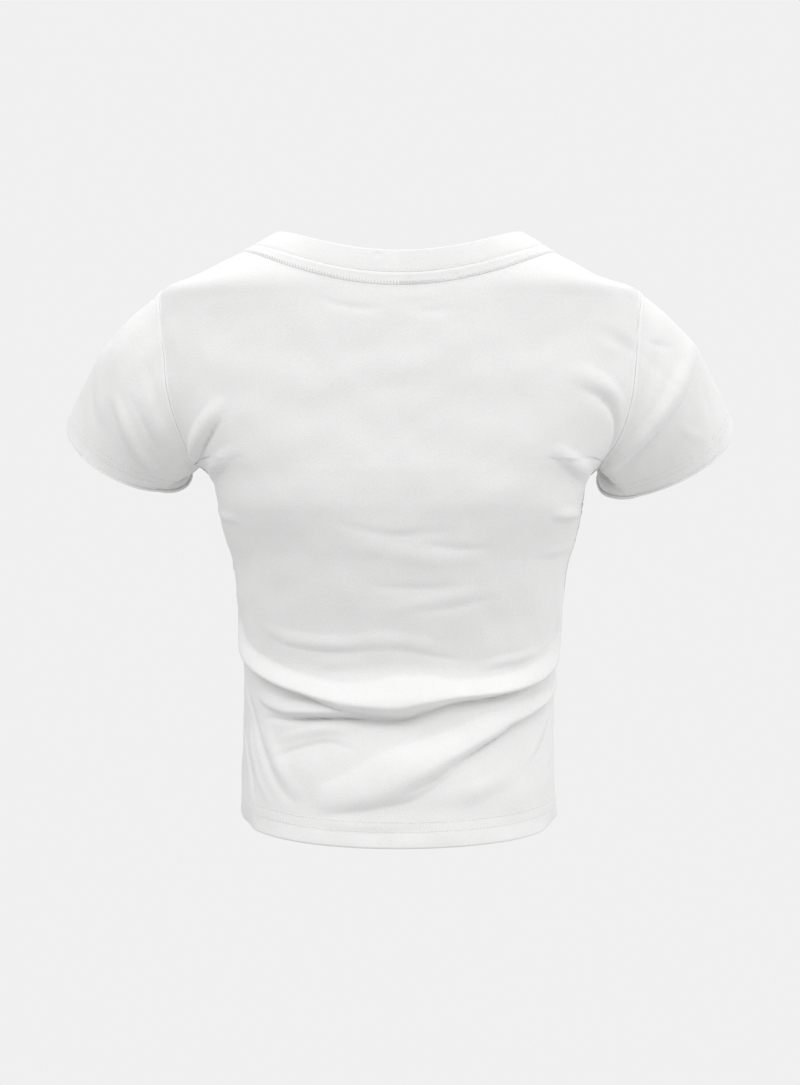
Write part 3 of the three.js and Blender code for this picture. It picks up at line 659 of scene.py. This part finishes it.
def row_heights(side, place):
    """Heights of all rows of a panel at its edge or its centre."""
    key = "edge" if place == "edge" else side
    heights = [[ROWS[0][key]]]
    for above, row in zip(ROWS, ROWS[1:]):
        heights.append(np.linspace(above[key], row[key], row[side + "_rows"] + 1)[1:])
    return np.concatenate(heights)


def edge_turn(side, z):
    """The turn of a panel's edge, counted from the centre of its own side."""
    seam = np.pi / 2 - SEAM_GAP / 2 / depth[side](z)
    row_dent_and_shade = own_turn(armhole[side](z) / width(z), z)
    return np.where((z >= SHOULDER_END) | (z <= UNDERARM), seam, np.minimum(seam, row_dent_and_shade))


def neckline(angle):
    """The neckline seam at an angle round the neck from centre back, as a turn and a height."""
    sin, cos = np.sin(angle), np.cos(angle)
    dips = {
        "back": NECKLINE["back_drop"] * np.maximum(cos, 0) ** 2,
        "front": NECKLINE["front_drop"] * np.maximum(-cos, 0) ** NECKLINE["front_curve"],
    }
    z = -np.where(cos > 0, dips["back"], dips["front"])
    x = NECKLINE["half_width"] * sin
    return np.where(cos > 0, turn_at("back", x, z), turn_at("front", x, z)), z


def panel_places(side):
    """Turn and height of each point of a panel, with its columns from left to right as seen."""
    edge, centre = row_heights(side, "edge")[:, None], row_heights(side, "centre")[:, None]
    spread = edge_turn(side, np.minimum(edge, ROUND_SHOULDER))
    side_share = width_share(edge_turn(side, edge), edge)
    narrowing = 1 - (1 - side_share) * SHARES**2
    across = narrowing * np.sin(SHARES * spread) / np.sin(spread)
    z = mix(centre, edge, SHARES)

    quarter = np.minimum(np.pi / 2, (np.pi / 2) * SHARES / NECKLINE_SHARE)
    neck_turn, neck_z = neckline(quarter if side == "back" else np.pi - quarter)
    on_shoulder = SHARES >= NECKLINE_SHARE
    top_across = np.where(on_shoulder, 1, width_share(neck_turn, neck_z))
    top_z = np.where(on_shoulder, SHOULDER_END * (SHARES - NECKLINE_SHARE) / (1 - NECKLINE_SHARE), neck_z)

    down = (edge - SHOULDER_END) / (HEM_SIDE - SHOULDER_END)
    fade = (1 - down) ** TOP_FADE
    hem_bend = down**HEM_FADE * HEM_DIP[side] * (1 - SHARES - np.cos(SHARES * np.pi / 2))
    across = across + fade * (top_across - across[:1])
    z = z + fade * (top_z - z[:1]) + hem_bend
    own = np.minimum(edge_turn(side, np.full(z.shape, float(HEM_SIDE))), own_turn(across, z))
    right = -own if side == "back" else np.pi - own
    return np.hstack([-right[:, :0:-1], right]), np.hstack([z[:, :0:-1], z])


# Rows added along a panel's top: distance from the edge, and its greatest share of the first row.
EDGE_ROWS = [(0.25, 0.2), (0.9, 0.4), (1.6, 0.6), (2.6, 0.8)]
ARMHOLE_EDGES = row_heights("back", "edge")
ARMHOLE_ROWS = int(np.argmax(ARMHOLE_EDGES <= UNDERARM))


def with_edge_rows(points):
    """A grid of points with narrow rows added inside its first row, which is wide on the shoulders."""
    step = points[1] - points[0]
    length = np.linalg.norm(step, axis=-1, keepdims=True)
    added = [points[0] + step * np.minimum(near / length, share) for near, share in EDGE_ROWS]
    return np.concatenate([points[:1], added, points[1:]])


def panel(side):
    """The front or the back, and the stitching along its hem."""
    points = with_edge_rows(torso(*panel_places(side)))
    normals = grid_normals(points, False)
    from_left, from_top = run_length(points, 1), run_length(points, 0)
    from_side = np.minimum(from_left, from_left[:, -1:] - from_left)
    to_edge = from_top[-1:] - from_top
    along = from_left - from_left[:, HALF : HALF + 1]

    beside_sleeve = (np.arange(len(points)) <= ARMHOLE_ROWS + len(EDGE_ROWS))[:, None]
    low = lowness(points[:, :1, 2])
    relief = np.where(beside_sleeve, seam_relief(from_side, 0, mix(0.7, 0.4, low)), 0)
    relief += np.where(beside_sleeve, 0, seam_relief(from_side, 0.1, 0.15))
    at_shoulder = np.abs(along) > 0.94 * np.interp(NECKLINE_SHARE, SHARES, np.abs(along[0, HALF:]))
    relief += np.where(at_shoulder, seam_relief(from_top, 0, 0.3), 0.25 * bell(from_top, 1.2))
    # Where the cloth is painted lighter as a highlight on the ridges beside the armhole and shoulder seams.
    ridge_highlight = np.where(beside_sleeve, beside_seam(from_side), 0)
    ridge_highlight = ridge_highlight + np.where(at_shoulder, beside_seam(from_top), 0)
    relief += hem_relief(to_edge, along, BODY_HEM_ROWS)
    points = points + normals * relief[..., None]

    wall = hem_wall(points, to_edge)
    piece = cloth_piece("cloth_" + side, points, wall, along, to_edge, ridge_highlight, False)
    rows = [stitch_row(points, False, along, to_edge, height, HEM_STITCH) for height in BODY_HEM_ROWS]
    return piece, rows


# ---- Sleeves ----

RING = 2 * ARMHOLE_ROWS  # points round a sleeve
ALONG = np.r_[np.linspace(0, 0.045, 10), np.linspace(0.045, 0.84, 38)[1:], np.linspace(0.84, 1, 17)[1:]]


def armhole_ring(side):
    """The armhole seam: from the shoulder's end down the back to the underarm and up the front."""
    z = np.r_[ARMHOLE_EDGES[: ARMHOLE_ROWS + 1], ARMHOLE_EDGES[ARMHOLE_ROWS - 1 : 0 : -1]]
    behind = np.arange(RING) <= ARMHOLE_ROWS
    turn = np.where(behind, edge_turn("back", z), np.pi - edge_turn("front", z))
    return torso(side * turn, z)


def cuff_ring(side):
    """The sleeve's opening, drawn on the wearer's left. side is 1 for the left sleeve."""
    axis = unit(np.array(CUFF["axis"]))
    up = unit(np.array([-axis[2], 0, axis[0]]))
    behind = unit(np.cross(up, axis))
    behind *= np.sign(behind[1])
    turn = round_angles(RING)[:, None]
    angle = turn - CUFF["twist"] * (1 - np.cos(turn)) / 2
    tall = np.where(np.cos(angle) > 0, CUFF["tall"], CUFF["low"][side])
    return np.array(CUFF["centre"]) + up * tall * np.cos(angle) + behind * CUFF["deep"] * np.sin(angle)


def sleeve_form(side):
    """The plain sleeve between armhole and opening. side is 1 for the wearer's left."""
    mirror = np.array([side, 1, 1])
    start, end = armhole_ring(side) * mirror, cuff_ring(side)
    length = np.linalg.norm(end - start, axis=-1, keepdims=True)
    angle = round_angles(RING)
    top = (1 + np.cos(angle)) / 2
    leave = unit(np.stack([mix(0.5, 0.8, top), 0.3 * np.sin(angle) - 0.1, mix(-0.62, -0.58, top)], -1))
    leave *= mix(1, CAP_ROUNDNESS, top)[:, None] * length
    arrive = unit(np.array(CUFF["axis"])) * length
    weights = curve_weights(ALONG[:, None, None])
    return sum(part * weight for part, weight in zip((start, end, leave, arrive), weights)) * mirror


def sleeve(side):
    """One sleeve, and the stitching along its hem."""
    name = "left" if side > 0 else "right"
    points = sleeve_form(side)
    normals = grid_normals(points, True)
    x, z = points[..., 0], points[..., 2]
    out, hang = np.zeros(x.shape), np.zeros(x.shape)
    for view, facing, left_sign in (("back", 1, -1), ("front", -1, 1)):
        weight = np.clip(2 * facing * normals[..., 1], 0, 1)
        for shape, way in SLEEVE_FOLDS[name, view]:
            more, sag = fold_relief(shape, crest_line(way), x, z, left_sign)
            out += more * weight
            hang += sag * weight
    kick = HEM_KICK["far"] * np.maximum(np.sin(round_angles(RING)), 0)
    kick = kick * np.clip(1 - (1 - ALONG[:, None]) / HEM_KICK["share"], 0, 1) ** 2
    points[..., :2] += kick[..., None] * HEM_KICK["way"] * np.array([side, 1])
    settle = np.clip(ALONG / 0.14, 0, 1)[:, None]
    from_top = run_length(points, 0)
    ring_place = run_length(points, 1)
    from_shoulder = np.minimum(ring_place, ring_place[:, -1:] - ring_place)
    out = (out + ripple(from_shoulder + 90 * side, from_top)) * settle
    points = points + normals * out[..., None]
    points[..., 2] -= hang * settle

    normals = grid_normals(points, True)
    from_top = run_length(points, 0)
    to_edge = from_top[-1:] - from_top
    along = run_length(points, 1)
    from_seam = np.abs(along - along[:, ARMHOLE_ROWS : ARMHOLE_ROWS + 1])
    low = lowness(points[:1, :, 2])
    relief = seam_relief(from_top, 0, mix(0.7, 0.25, low)) + seam_relief(from_seam, 0.1, 0.15)
    relief += hem_relief(to_edge, np.minimum(along, along[:, -1:] - along), SLEEVE_HEM_ROWS)
    points = points + normals * relief[..., None]
    points[0] += unit(points[1] - points[0]) * TOUCH
    wall = hem_wall(points, to_edge)
    # Where the cloth is painted lighter as a highlight on the ridge beside the armhole seam, less of it low
    # down.
    ridge_highlight = beside_seam(from_top) * mix(1, 0.6, low)
    piece = cloth_piece("cloth_sleeve_" + name, points, wall, along, to_edge, ridge_highlight, True)
    rows = [stitch_row(points, True, along, to_edge, height, HEM_STITCH) for height in SLEEVE_HEM_ROWS]
    return piece, rows


# ---- Neckband ----

BAND_COLUMNS = 260
BAND_UP = np.r_[np.linspace(0, 0.5, 15), np.linspace(0.5, 1, 9)[1:]]
BAND_PROUD = 0.3  # how far the band stands out from the panels
BAND_WAVES = 64  # slight puckers round the band
BAND_RIDGE = 1.8  # from the upper stitching down to the ridge that it makes
JOIN_X, JOIN_TOP = -38, 12  # the band's own seam, on the back
DIMPLE = (14.5, -9.5)  # x and z of a small pull in the band


def neckband():
    """The neckband, folded along its top edge, and its two rows of stitching."""
    angle = round_angles(BAND_COLUMNS)
    turn, z = neckline(angle)
    foot = torso(turn, z)
    normal = normal_of(torso, turn, z, 0.004, -0.4)
    normal *= np.sign((normal * form_normal(turn, z)).sum(-1, keepdims=True))
    cos = np.cos(angle)
    fall = np.where(
        cos > 0,
        (BAND["rise"] - BAND["back_top"]) * np.maximum(cos, 0) ** 2,
        (BAND["rise"] - BAND["front_top"]) * np.maximum(-cos, 0) ** NECKLINE["front_curve"],
    )
    x, y = BAND["half_width"] * np.sin(angle), BAND["lean"] * foot[:, 1]
    crown = np.stack([x, y, BAND["rise"] - fall], -1)
    start = foot + unit(crown - foot) * TOUCH
    t = BAND_UP[:, None, None]
    points = mix(start, crown, t) + normal * BAND_PROUD
    normals = grid_normals(points, True)
    up, along = run_length(points, 0), run_length(points, 1)
    over = up - BAND_ROWS[1]
    ridge = over + BAND_RIDGE
    relief = 0.5 * np.sin(np.pi * BAND_UP)[:, None] - 0.22 * bell(over, 0.8)
    relief += 0.22 * bell(ridge, 0.9)
    behind = points[..., 1] > 0
    join = 0.35 * bell(points[..., 0] - JOIN_X, SEAM_WIDTH) * np.clip((JOIN_TOP - up) / 3, 0, 1)
    relief -= np.where(behind, join, 0)
    pull = np.hypot(points[..., 0] - DIMPLE[0], points[..., 2] - DIMPLE[1])
    relief -= np.where(behind, 1.3 * bell(pull, 1.7) - 0.35 * bell(pull, 4.5), 0)
    relief += 0.07 * np.sin(BAND_WAVES * angle) * bell(up - 5, 5)
    points = points + normals * relief[..., None]
    points[-1] += unit(points[-2] - points[-1]) * BAND_WALL / 2
    # Where the band is painted lighter as a highlight on the ridge under its upper stitching.
    ridge_highlight = 0.6 * bell(ridge, 1.1)
    piece = cloth_piece("cloth_neckband", points, BAND_WALL, along, -up, ridge_highlight, True)
    upper = stitch_row(points, True, along, -up, -BAND_ROWS[1], BAND_STITCH)
    lower = stitch_row(points, True, along, -up, -BAND_ROWS[0], SEAM_STITCH)
    return piece, [upper, lower]


# ---- Stitches ----

STITCH_SIDES = 6
STITCH_LIFT = 0.06  # of a stitch's middle line over the cloth
# Half a stitch from its middle: place along it, thickness, and height over the cloth.
HALF_STITCH = [(0.3, 1, 0.15), (0.8, 0.85, -0.2), (1, 0.4, -1)]
STITCH_SHAPE = np.array([(-run, thick, lift) for run, thick, lift in HALF_STITCH[::-1]] + HALF_STITCH)
HEM_STITCH = {"pitch": 2.6, "length": 2, "thread": 0.36, "tilt": 0}
BAND_STITCH = {"pitch": 2.1, "length": 1.7, "thread": 0.42, "tilt": 0}
SEAM_STITCH = {"pitch": 2.1, "length": 2.3, "thread": 0.5, "tilt": 1.4}


def stitch_row(points, wrap, along, level, height, kind):
    """Stitches laid along the line where level, which falls down each column, equals height.
    Returns the corner points and faces of their small rounded bars."""
    normals = grid_normals(points, wrap)
    columns = np.arange(points.shape[1])
    below = np.argmax(level <= height, axis=0)
    above = below - 1
    part = (level[above, columns] - height) / (level[above, columns] - level[below, columns])
    pick = lambda grid: mix(grid[above, columns], grid[below, columns], part[:, None])
    place, facing = pick(points), unit(pick(normals))
    length = mix(along[above, columns], along[below, columns], part)
    if wrap:
        place, facing = np.vstack([place, place[:1]]), np.vstack([facing, facing[:1]])
        length = np.r_[length, 2 * length[-1] - length[-2]]
    at = np.arange(np.ceil(length[0] / kind["pitch"]), np.floor(length[-1] / kind["pitch"])) * kind["pitch"]
    at = at + kind["pitch"] / 2
    sample = lambda values, at: np.stack([np.interp(at, length, line) for line in values.T], -1)
    centre, normal = sample(place, at), unit(sample(facing, at))
    way = unit(sample(place, at + 0.5) - centre)
    crosswise = np.cross(normal, way)
    way = way * np.cos(kind["tilt"]) + crosswise * np.sin(kind["tilt"])
    crosswise = np.cross(normal, way)

    turn = round_angles(STITCH_SIDES)[:, None]
    run, thick, lift = STITCH_SHAPE.T[..., None, None]
    radius = kind["thread"] / 2
    run, lift = run * kind["length"] / 2, lift * radius + STITCH_LIFT
    centre, way, crosswise, normal = (line[:, None, None] for line in (centre, way, crosswise, normal))
    ring = crosswise * np.cos(turn) + normal * np.sin(turn)
    corners = centre + way * run + normal * lift + ring * (radius * thick)
    count, rings = corners.shape[:2]
    one = []
    for a in range(0, (rings - 1) * STITCH_SIDES, STITCH_SIDES):
        for here in range(STITCH_SIDES):
            beside = (here + 1) % STITCH_SIDES
            one.append([a + here, a + beside, a + beside + STITCH_SIDES, a + here + STITCH_SIDES])
    caps = [list(range(STITCH_SIDES))[::-1], [(rings - 1) * STITCH_SIDES + k for k in range(STITCH_SIDES)]]
    size = rings * STITCH_SIDES
    faces = [[corner + size * n for corner in face] for n in range(count) for face in one + caps]
    return corners.reshape(-1, 3), faces


def stitching(name, rows):
    """All rows of one seam as a piece."""
    points, faces, start = [], [], 0
    for corners, row_faces in rows:
        points.append(corners)
        faces += [[corner + start for corner in face] for face in row_faces]
        start += len(corners)
    mesh = bpy.data.meshes.new(name)
    mesh.from_pydata((np.vstack(points) * MM).tolist(), [], faces)
    mesh.polygons.foreach_set("use_smooth", np.ones(len(mesh.polygons), bool))
    mesh.update()
    return linked(name, mesh)


# ---- Materials ----


def nodes_of(name, color, roughness, sheen):
    """A new material with its shader's plain values set on the shader itself."""
    material = bpy.data.materials.new(name)
    material.use_nodes = True
    tree = material.node_tree
    shader = tree.nodes["Principled BSDF"]
    shader.inputs["Base Color"].default_value = (*color, 1)
    shader.inputs["Roughness"].default_value = roughness
    shader.inputs["Specular IOR Level"].default_value = 0.25
    shader.inputs["Sheen Weight"].default_value = sheen
    shader.inputs["Sheen Roughness"].default_value = 0.55
    return material, tree, shader


def new_node(tree, kind, settings=None, inputs=None):
    """A new node, its settings made first. Each input is a socket to link or a plain value."""
    made = tree.nodes.new("ShaderNode" + kind)
    for name, value in (settings or {}).items():
        setattr(made, name, value)
    for name, value in (inputs or {}).items():
        if isinstance(value, bpy.types.NodeSocket):
            tree.links.new(value, made.inputs[name])
        else:
            made.inputs[name].default_value = value
    return made


def math(tree, operation, *values):
    """One arithmetic node. Its inputs are sockets or numbers."""
    return new_node(tree, "Math", {"operation": operation}, dict(enumerate(values))).outputs[0]


def uv_parts(tree):
    uv = new_node(tree, "UVMap", {"uv_map": "cloth"})
    return new_node(tree, "SeparateXYZ", inputs={0: uv.outputs[0]}).outputs[:2]


def noise(tree, scale, detail, roughness):
    """Noise over the object's own coordinates, about 0 to 1."""
    place = new_node(tree, "TexCoord").outputs["Object"]
    inputs = {"Scale": scale, "Detail": detail, "Roughness": roughness, "Vector": place}
    return new_node(tree, "TexNoise", inputs=inputs).outputs["Fac"]


def knit_height(tree, wale, course):
    """Columns of V-shaped loops: wale is their width and course their height, in metres."""
    u, v = uv_parts(tree)
    column = math(tree, "FRACT", math(tree, "DIVIDE", u, wale))
    from_middle = math(tree, "ABSOLUTE", math(tree, "SUBTRACT", column, 0.5))
    slant = math(tree, "ADD", math(tree, "DIVIDE", v, course), math(tree, "MULTIPLY", from_middle, 1.6))
    loops = math(tree, "SINE", math(tree, "MULTIPLY", slant, 2 * np.pi))
    rib = math(tree, "COSINE", math(tree, "MULTIPLY", from_middle, 2 * np.pi))
    return math(tree, "ADD", math(tree, "MULTIPLY", loops, 0.35), math(tree, "MULTIPLY", rib, -0.5))


def bumps(tree, shader, layers):
    """Chains bump nodes onto a shader. A layer is a height socket and its depth in metres."""
    below = {}
    for height, depth_of in layers:
        inputs = {"Strength": 1, "Distance": depth_of, "Height": height, **below}
        bump = new_node(tree, "Bump", inputs=inputs)
        below = {"Normal": bump.outputs[0]}
    tree.links.new(below["Normal"], shader.inputs["Normal"])


def ramp(tree, value, low, high, low_color, high_color):
    made = new_node(tree, "ValToRGB", inputs={0: value})
    for element, position, color in zip(made.color_ramp.elements, (low, high), (low_color, high_color)):
        element.position = position
        element.color = (*color, 1)
    return made.outputs[0]


def mixed(tree, blend, share, a, b):
    inputs = {"Factor": share, "A": a, "B": b}
    return new_node(tree, "Mix", {"data_type": "RGBA", "blend_type": blend}, inputs).outputs["Result"]


def needle_hole_dents_and_shade(tree, rows, pitch):
    """The gaps between stitches, as a mask that dents the cloth and paints shade into its colour there:
    its depth where there is a gap, 0 elsewhere. Each row gives its distance from the edge and the gaps'
    half width, half height and depth. The depth is a share, the rest is in millimetres."""
    u, v = uv_parts(tree)
    total = None
    for row, half_width, half_height, deep in rows:
        place = math(tree, "FRACT", math(tree, "ADD", math(tree, "DIVIDE", u, pitch * MM), 0.5))
        aside = math(tree, "MULTIPLY", math(tree, "SUBTRACT", place, 0.5), pitch / half_width)
        up = math(tree, "DIVIDE", math(tree, "ADD", v, row * MM), half_height * MM)
        far = math(tree, "ADD", math(tree, "MULTIPLY", aside, aside), math(tree, "MULTIPLY", up, up))
        row_dent_and_shade = math(tree, "MULTIPLY", math(tree, "MAXIMUM", math(tree, "SUBTRACT", 1, far), 0), deep)
        total = row_dent_and_shade if total is None else math(tree, "MAXIMUM", total, row_dent_and_shade)
    return total


WHITE_LOW, WHITE_HIGH = (0.838, 0.838, 0.834), (0.856, 0.857, 0.853)
GRAIN_LOW, GRAIN_HIGH = (0.955, 0.955, 0.955), (1, 1, 1)
# Painted shade: the colour the cloth is darkened to in the gaps between stitches, and the colour where
# there is no gap.
PAINTED_HOLE_SHADE, NO_HOLE_SHADE = (0.4, 0.4, 0.4), (1, 1, 1)
# Painted highlight: the lighter colour the cloth is given on the seams' ridges, where light catches them.
SEAM_HIGHLIGHT_COLOR = (0.92, 0.92, 0.917)
THREAD_LOW, THREAD_COLOR, THREAD_HIGH = (0.86, 0.86, 0.855), (0.9, 0.9, 0.895), (0.94, 0.94, 0.935)
# Noises: scale, detail, roughness.
GRAIN, MOTTLE, PATCHES = (900, 3, 0.6), (42, 4, 0.55), (22, 1, 0.5)
PATCH_STRENGTH = (2.6, -0.6)  # factor and offset
KNIT = {"wale": 0.00085, "course": 0.0007}  # in metres, as are the depths
KNIT_DEPTH, GRAIN_DEPTH, HOLE_DEPTH, PLY_DEPTH = 0.00002, 0.0002, -0.0003, 0.00005


def jersey(name, stitch_rows, stitch):
    """White knitted cotton, with the marks of its stitching: dents with painted shade in the gaps between
    stitches, and a painted highlight on the seams' ridges.
    """
    material, tree, shader = nodes_of(name, WHITE_HIGH, roughness=0.92, sheen=0.12)
    grain = noise(tree, *GRAIN)
    white = ramp(tree, noise(tree, *MOTTLE), 0.3, 0.7, WHITE_LOW, WHITE_HIGH)
    color = mixed(tree, "MULTIPLY", 1, white, ramp(tree, grain, 0.3, 0.7, GRAIN_LOW, GRAIN_HIGH))
    # Painted highlight: the cloth is lightened along the seams' ridges, where light catches them.
    ridge_highlight = new_node(tree, "Attribute", {"attribute_name": "ridge_highlight"}).outputs["Fac"]
    color = mixed(tree, "MIX", ridge_highlight, color, (*SEAM_HIGHLIGHT_COLOR, 1))
    # Painted shade: the gaps between stitches are darkened, more strongly in some random patches than in
    # others.
    patchy = math(tree, "MULTIPLY_ADD", noise(tree, *PATCHES), *PATCH_STRENGTH)
    hole_dents_and_shade = math(tree, "MULTIPLY", needle_hole_dents_and_shade(tree, stitch_rows, stitch["pitch"]), patchy)
    color = mixed(tree, "MULTIPLY", 1, color, ramp(tree, hole_dents_and_shade, 0, 1, NO_HOLE_SHADE, PAINTED_HOLE_SHADE))
    tree.links.new(color, shader.inputs["Base Color"])
    knit = knit_height(tree, **KNIT)
    bumps(tree, shader, [(knit, KNIT_DEPTH), (grain, GRAIN_DEPTH), (hole_dents_and_shade, HOLE_DEPTH)])
    return material


def thread(name):
    """Polyester sewing thread: two plies twisted together."""
    material, tree, shader = nodes_of(name, THREAD_COLOR, roughness=0.6, sheen=0)
    place = new_node(tree, "TexCoord").outputs["Object"]
    inputs = {"Scale": 1600, "Distortion": 0.6, "Vector": place}
    ply = new_node(tree, "TexWave", {"bands_direction": "DIAGONAL"}, inputs).outputs["Fac"]
    tree.links.new(ramp(tree, ply, 0.2, 0.8, THREAD_LOW, THREAD_HIGH), shader.inputs["Base Color"])
    bumps(tree, shader, [(ply, PLY_DEPTH)])
    return material


# ---- The shirt ----

# The gaps between stitches, which dent the cloth and are painted with shade: half width and half height in
# millimetres, and depth.
HEM_GAP_DENT_AND_SHADE = (0.35, 0.35, 0.5)
BAND_GAPS_DENT_AND_SHADE = [(0.45, 1.4, 0.6), (0.4, 0.5, 0.5)]


def finished(piece, material):
    piece.data.materials.append(material)
    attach(piece, "root")
    return piece


def shirt():
    body_cloth = jersey("jersey_body", [(row, *HEM_GAP_DENT_AND_SHADE) for row in BODY_HEM_ROWS], HEM_STITCH)
    sleeve_cloth = jersey("jersey_sleeve", [(row, *HEM_GAP_DENT_AND_SHADE) for row in SLEEVE_HEM_ROWS], HEM_STITCH)
    band_gaps_dent_and_shade = [(-row, *gap) for row, gap in zip(BAND_ROWS, BAND_GAPS_DENT_AND_SHADE)]
    band_cloth = jersey("jersey_band", band_gaps_dent_and_shade, BAND_STITCH)
    sewing = thread("thread")
    made = {
        "back": (panel("back"), body_cloth),
        "front": (panel("front"), body_cloth),
        "sleeve_left": (sleeve(1), sleeve_cloth),
        "sleeve_right": (sleeve(-1), sleeve_cloth),
        "neckband": (neckband(), band_cloth),
    }
    for node, ((piece, rows), cloth) in made.items():
        finished(piece, cloth)
        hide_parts(node)
        stitches = finished(stitching("stitches_" + node, rows), sewing)


# ---- Stage, light and camera ----

CAMERA = {"distance": 1.5, "height": -0.2, "lens": 71.1, "sensor": 36}
FLOOR = {"height": -1.3, "radius": 2.5}
FLOOR_LOW, FLOOR_COLOR, FLOOR_HIGH = (0.7, 0.7, 0.695), (0.72, 0.72, 0.715), (0.74, 0.74, 0.735)
BACKGROUND = 0.871  # the grey behind the shirt
EVEN_LIGHT = 0.42  # the sky's own strength all round
# What the sky adds from one side: the axis, its sign, and the strength.
GLOWS = [(0, 1, 0.1), (0, -1, 0.42), (2, 1, 0.84), (2, -1, 0.33)]
# Round lamps, pointed at the middle of the shirt: place, and power in watts.
LAMPS = {"left": ((1.2, 0.9, 0.9), 5.2), "right": ((-1.2, 0.9, 0.9), 2.4), "middle": ((0, 1.5, 0.9), 4)}
LAMP_SIZE = 0.9
SHIRT_MIDDLE = (0, 0, -0.2)


def camera():
    data = bpy.data.cameras.new("camera")
    data.lens = CAMERA["lens"]
    data.sensor_fit = "VERTICAL"
    data.sensor_height = CAMERA["sensor"]
    obj = linked("camera", data)
    obj.location = (0, CAMERA["distance"], CAMERA["height"])
    obj.rotation_euler = (np.pi / 2, 0, np.pi)
    bpy.context.scene.camera = obj


def floor():
    mesh = bpy.data.meshes.new("floor")
    turn = round_angles(128)
    rim = np.stack([np.cos(turn), np.sin(turn), 0 * turn], -1) * FLOOR["radius"]
    rim[:, 2] = FLOOR["height"]
    mesh.from_pydata(rim.tolist(), [], [list(range(len(rim)))])
    material, tree, shader = nodes_of("floor", FLOOR_COLOR, roughness=0.95, sheen=0)
    mottled = ramp(tree, noise(tree, 3, 2, 0.5), 0.2, 0.8, FLOOR_LOW, FLOOR_HIGH)
    tree.links.new(mottled, shader.inputs["Base Color"])
    mesh.materials.append(material)
    stage = linked("floor", mesh)
    stage.visible_diffuse = False


def sky():
    """Soft light from all round, brighter from above and from one side, and a pale ground."""
    world = bpy.data.worlds.new("studio")
    bpy.context.scene.world = world
    world.use_nodes = True
    tree = world.node_tree
    place = new_node(tree, "TexCoord").outputs["Generated"]
    axes = new_node(tree, "SeparateXYZ", inputs={0: place}).outputs
    total = EVEN_LIGHT
    for axis, sign, strength in GLOWS:
        facing = math(tree, "MAXIMUM", math(tree, "MULTIPLY", axes[axis], sign), 0)
        total = math(tree, "MULTIPLY_ADD", facing, strength, total)
    seen = new_node(tree, "LightPath").outputs["Is Camera Ray"]
    ground = mixed(tree, "MIX", seen, total, (BACKGROUND, BACKGROUND, BACKGROUND, 1))
    tree.links.new(ground, tree.nodes["Background"].inputs["Color"])


def soft_light(name, place, watts):
    data = bpy.data.lights.new(name, "AREA")
    data.shape = "DISK"
    data.size = LAMP_SIZE
    data.energy = watts
    lamp = linked(name, data)
    lamp.location = place
    aim = Vector(SHIRT_MIDDLE) - Vector(place)
    lamp.rotation_euler = aim.to_track_quat("-Z", "Y").to_euler()


camera()
shirt()
floor()
sky()
for name, lamp in LAMPS.items():
    soft_light(name, *lamp)
bpy.context.scene.view_settings.view_transform = "Standard"
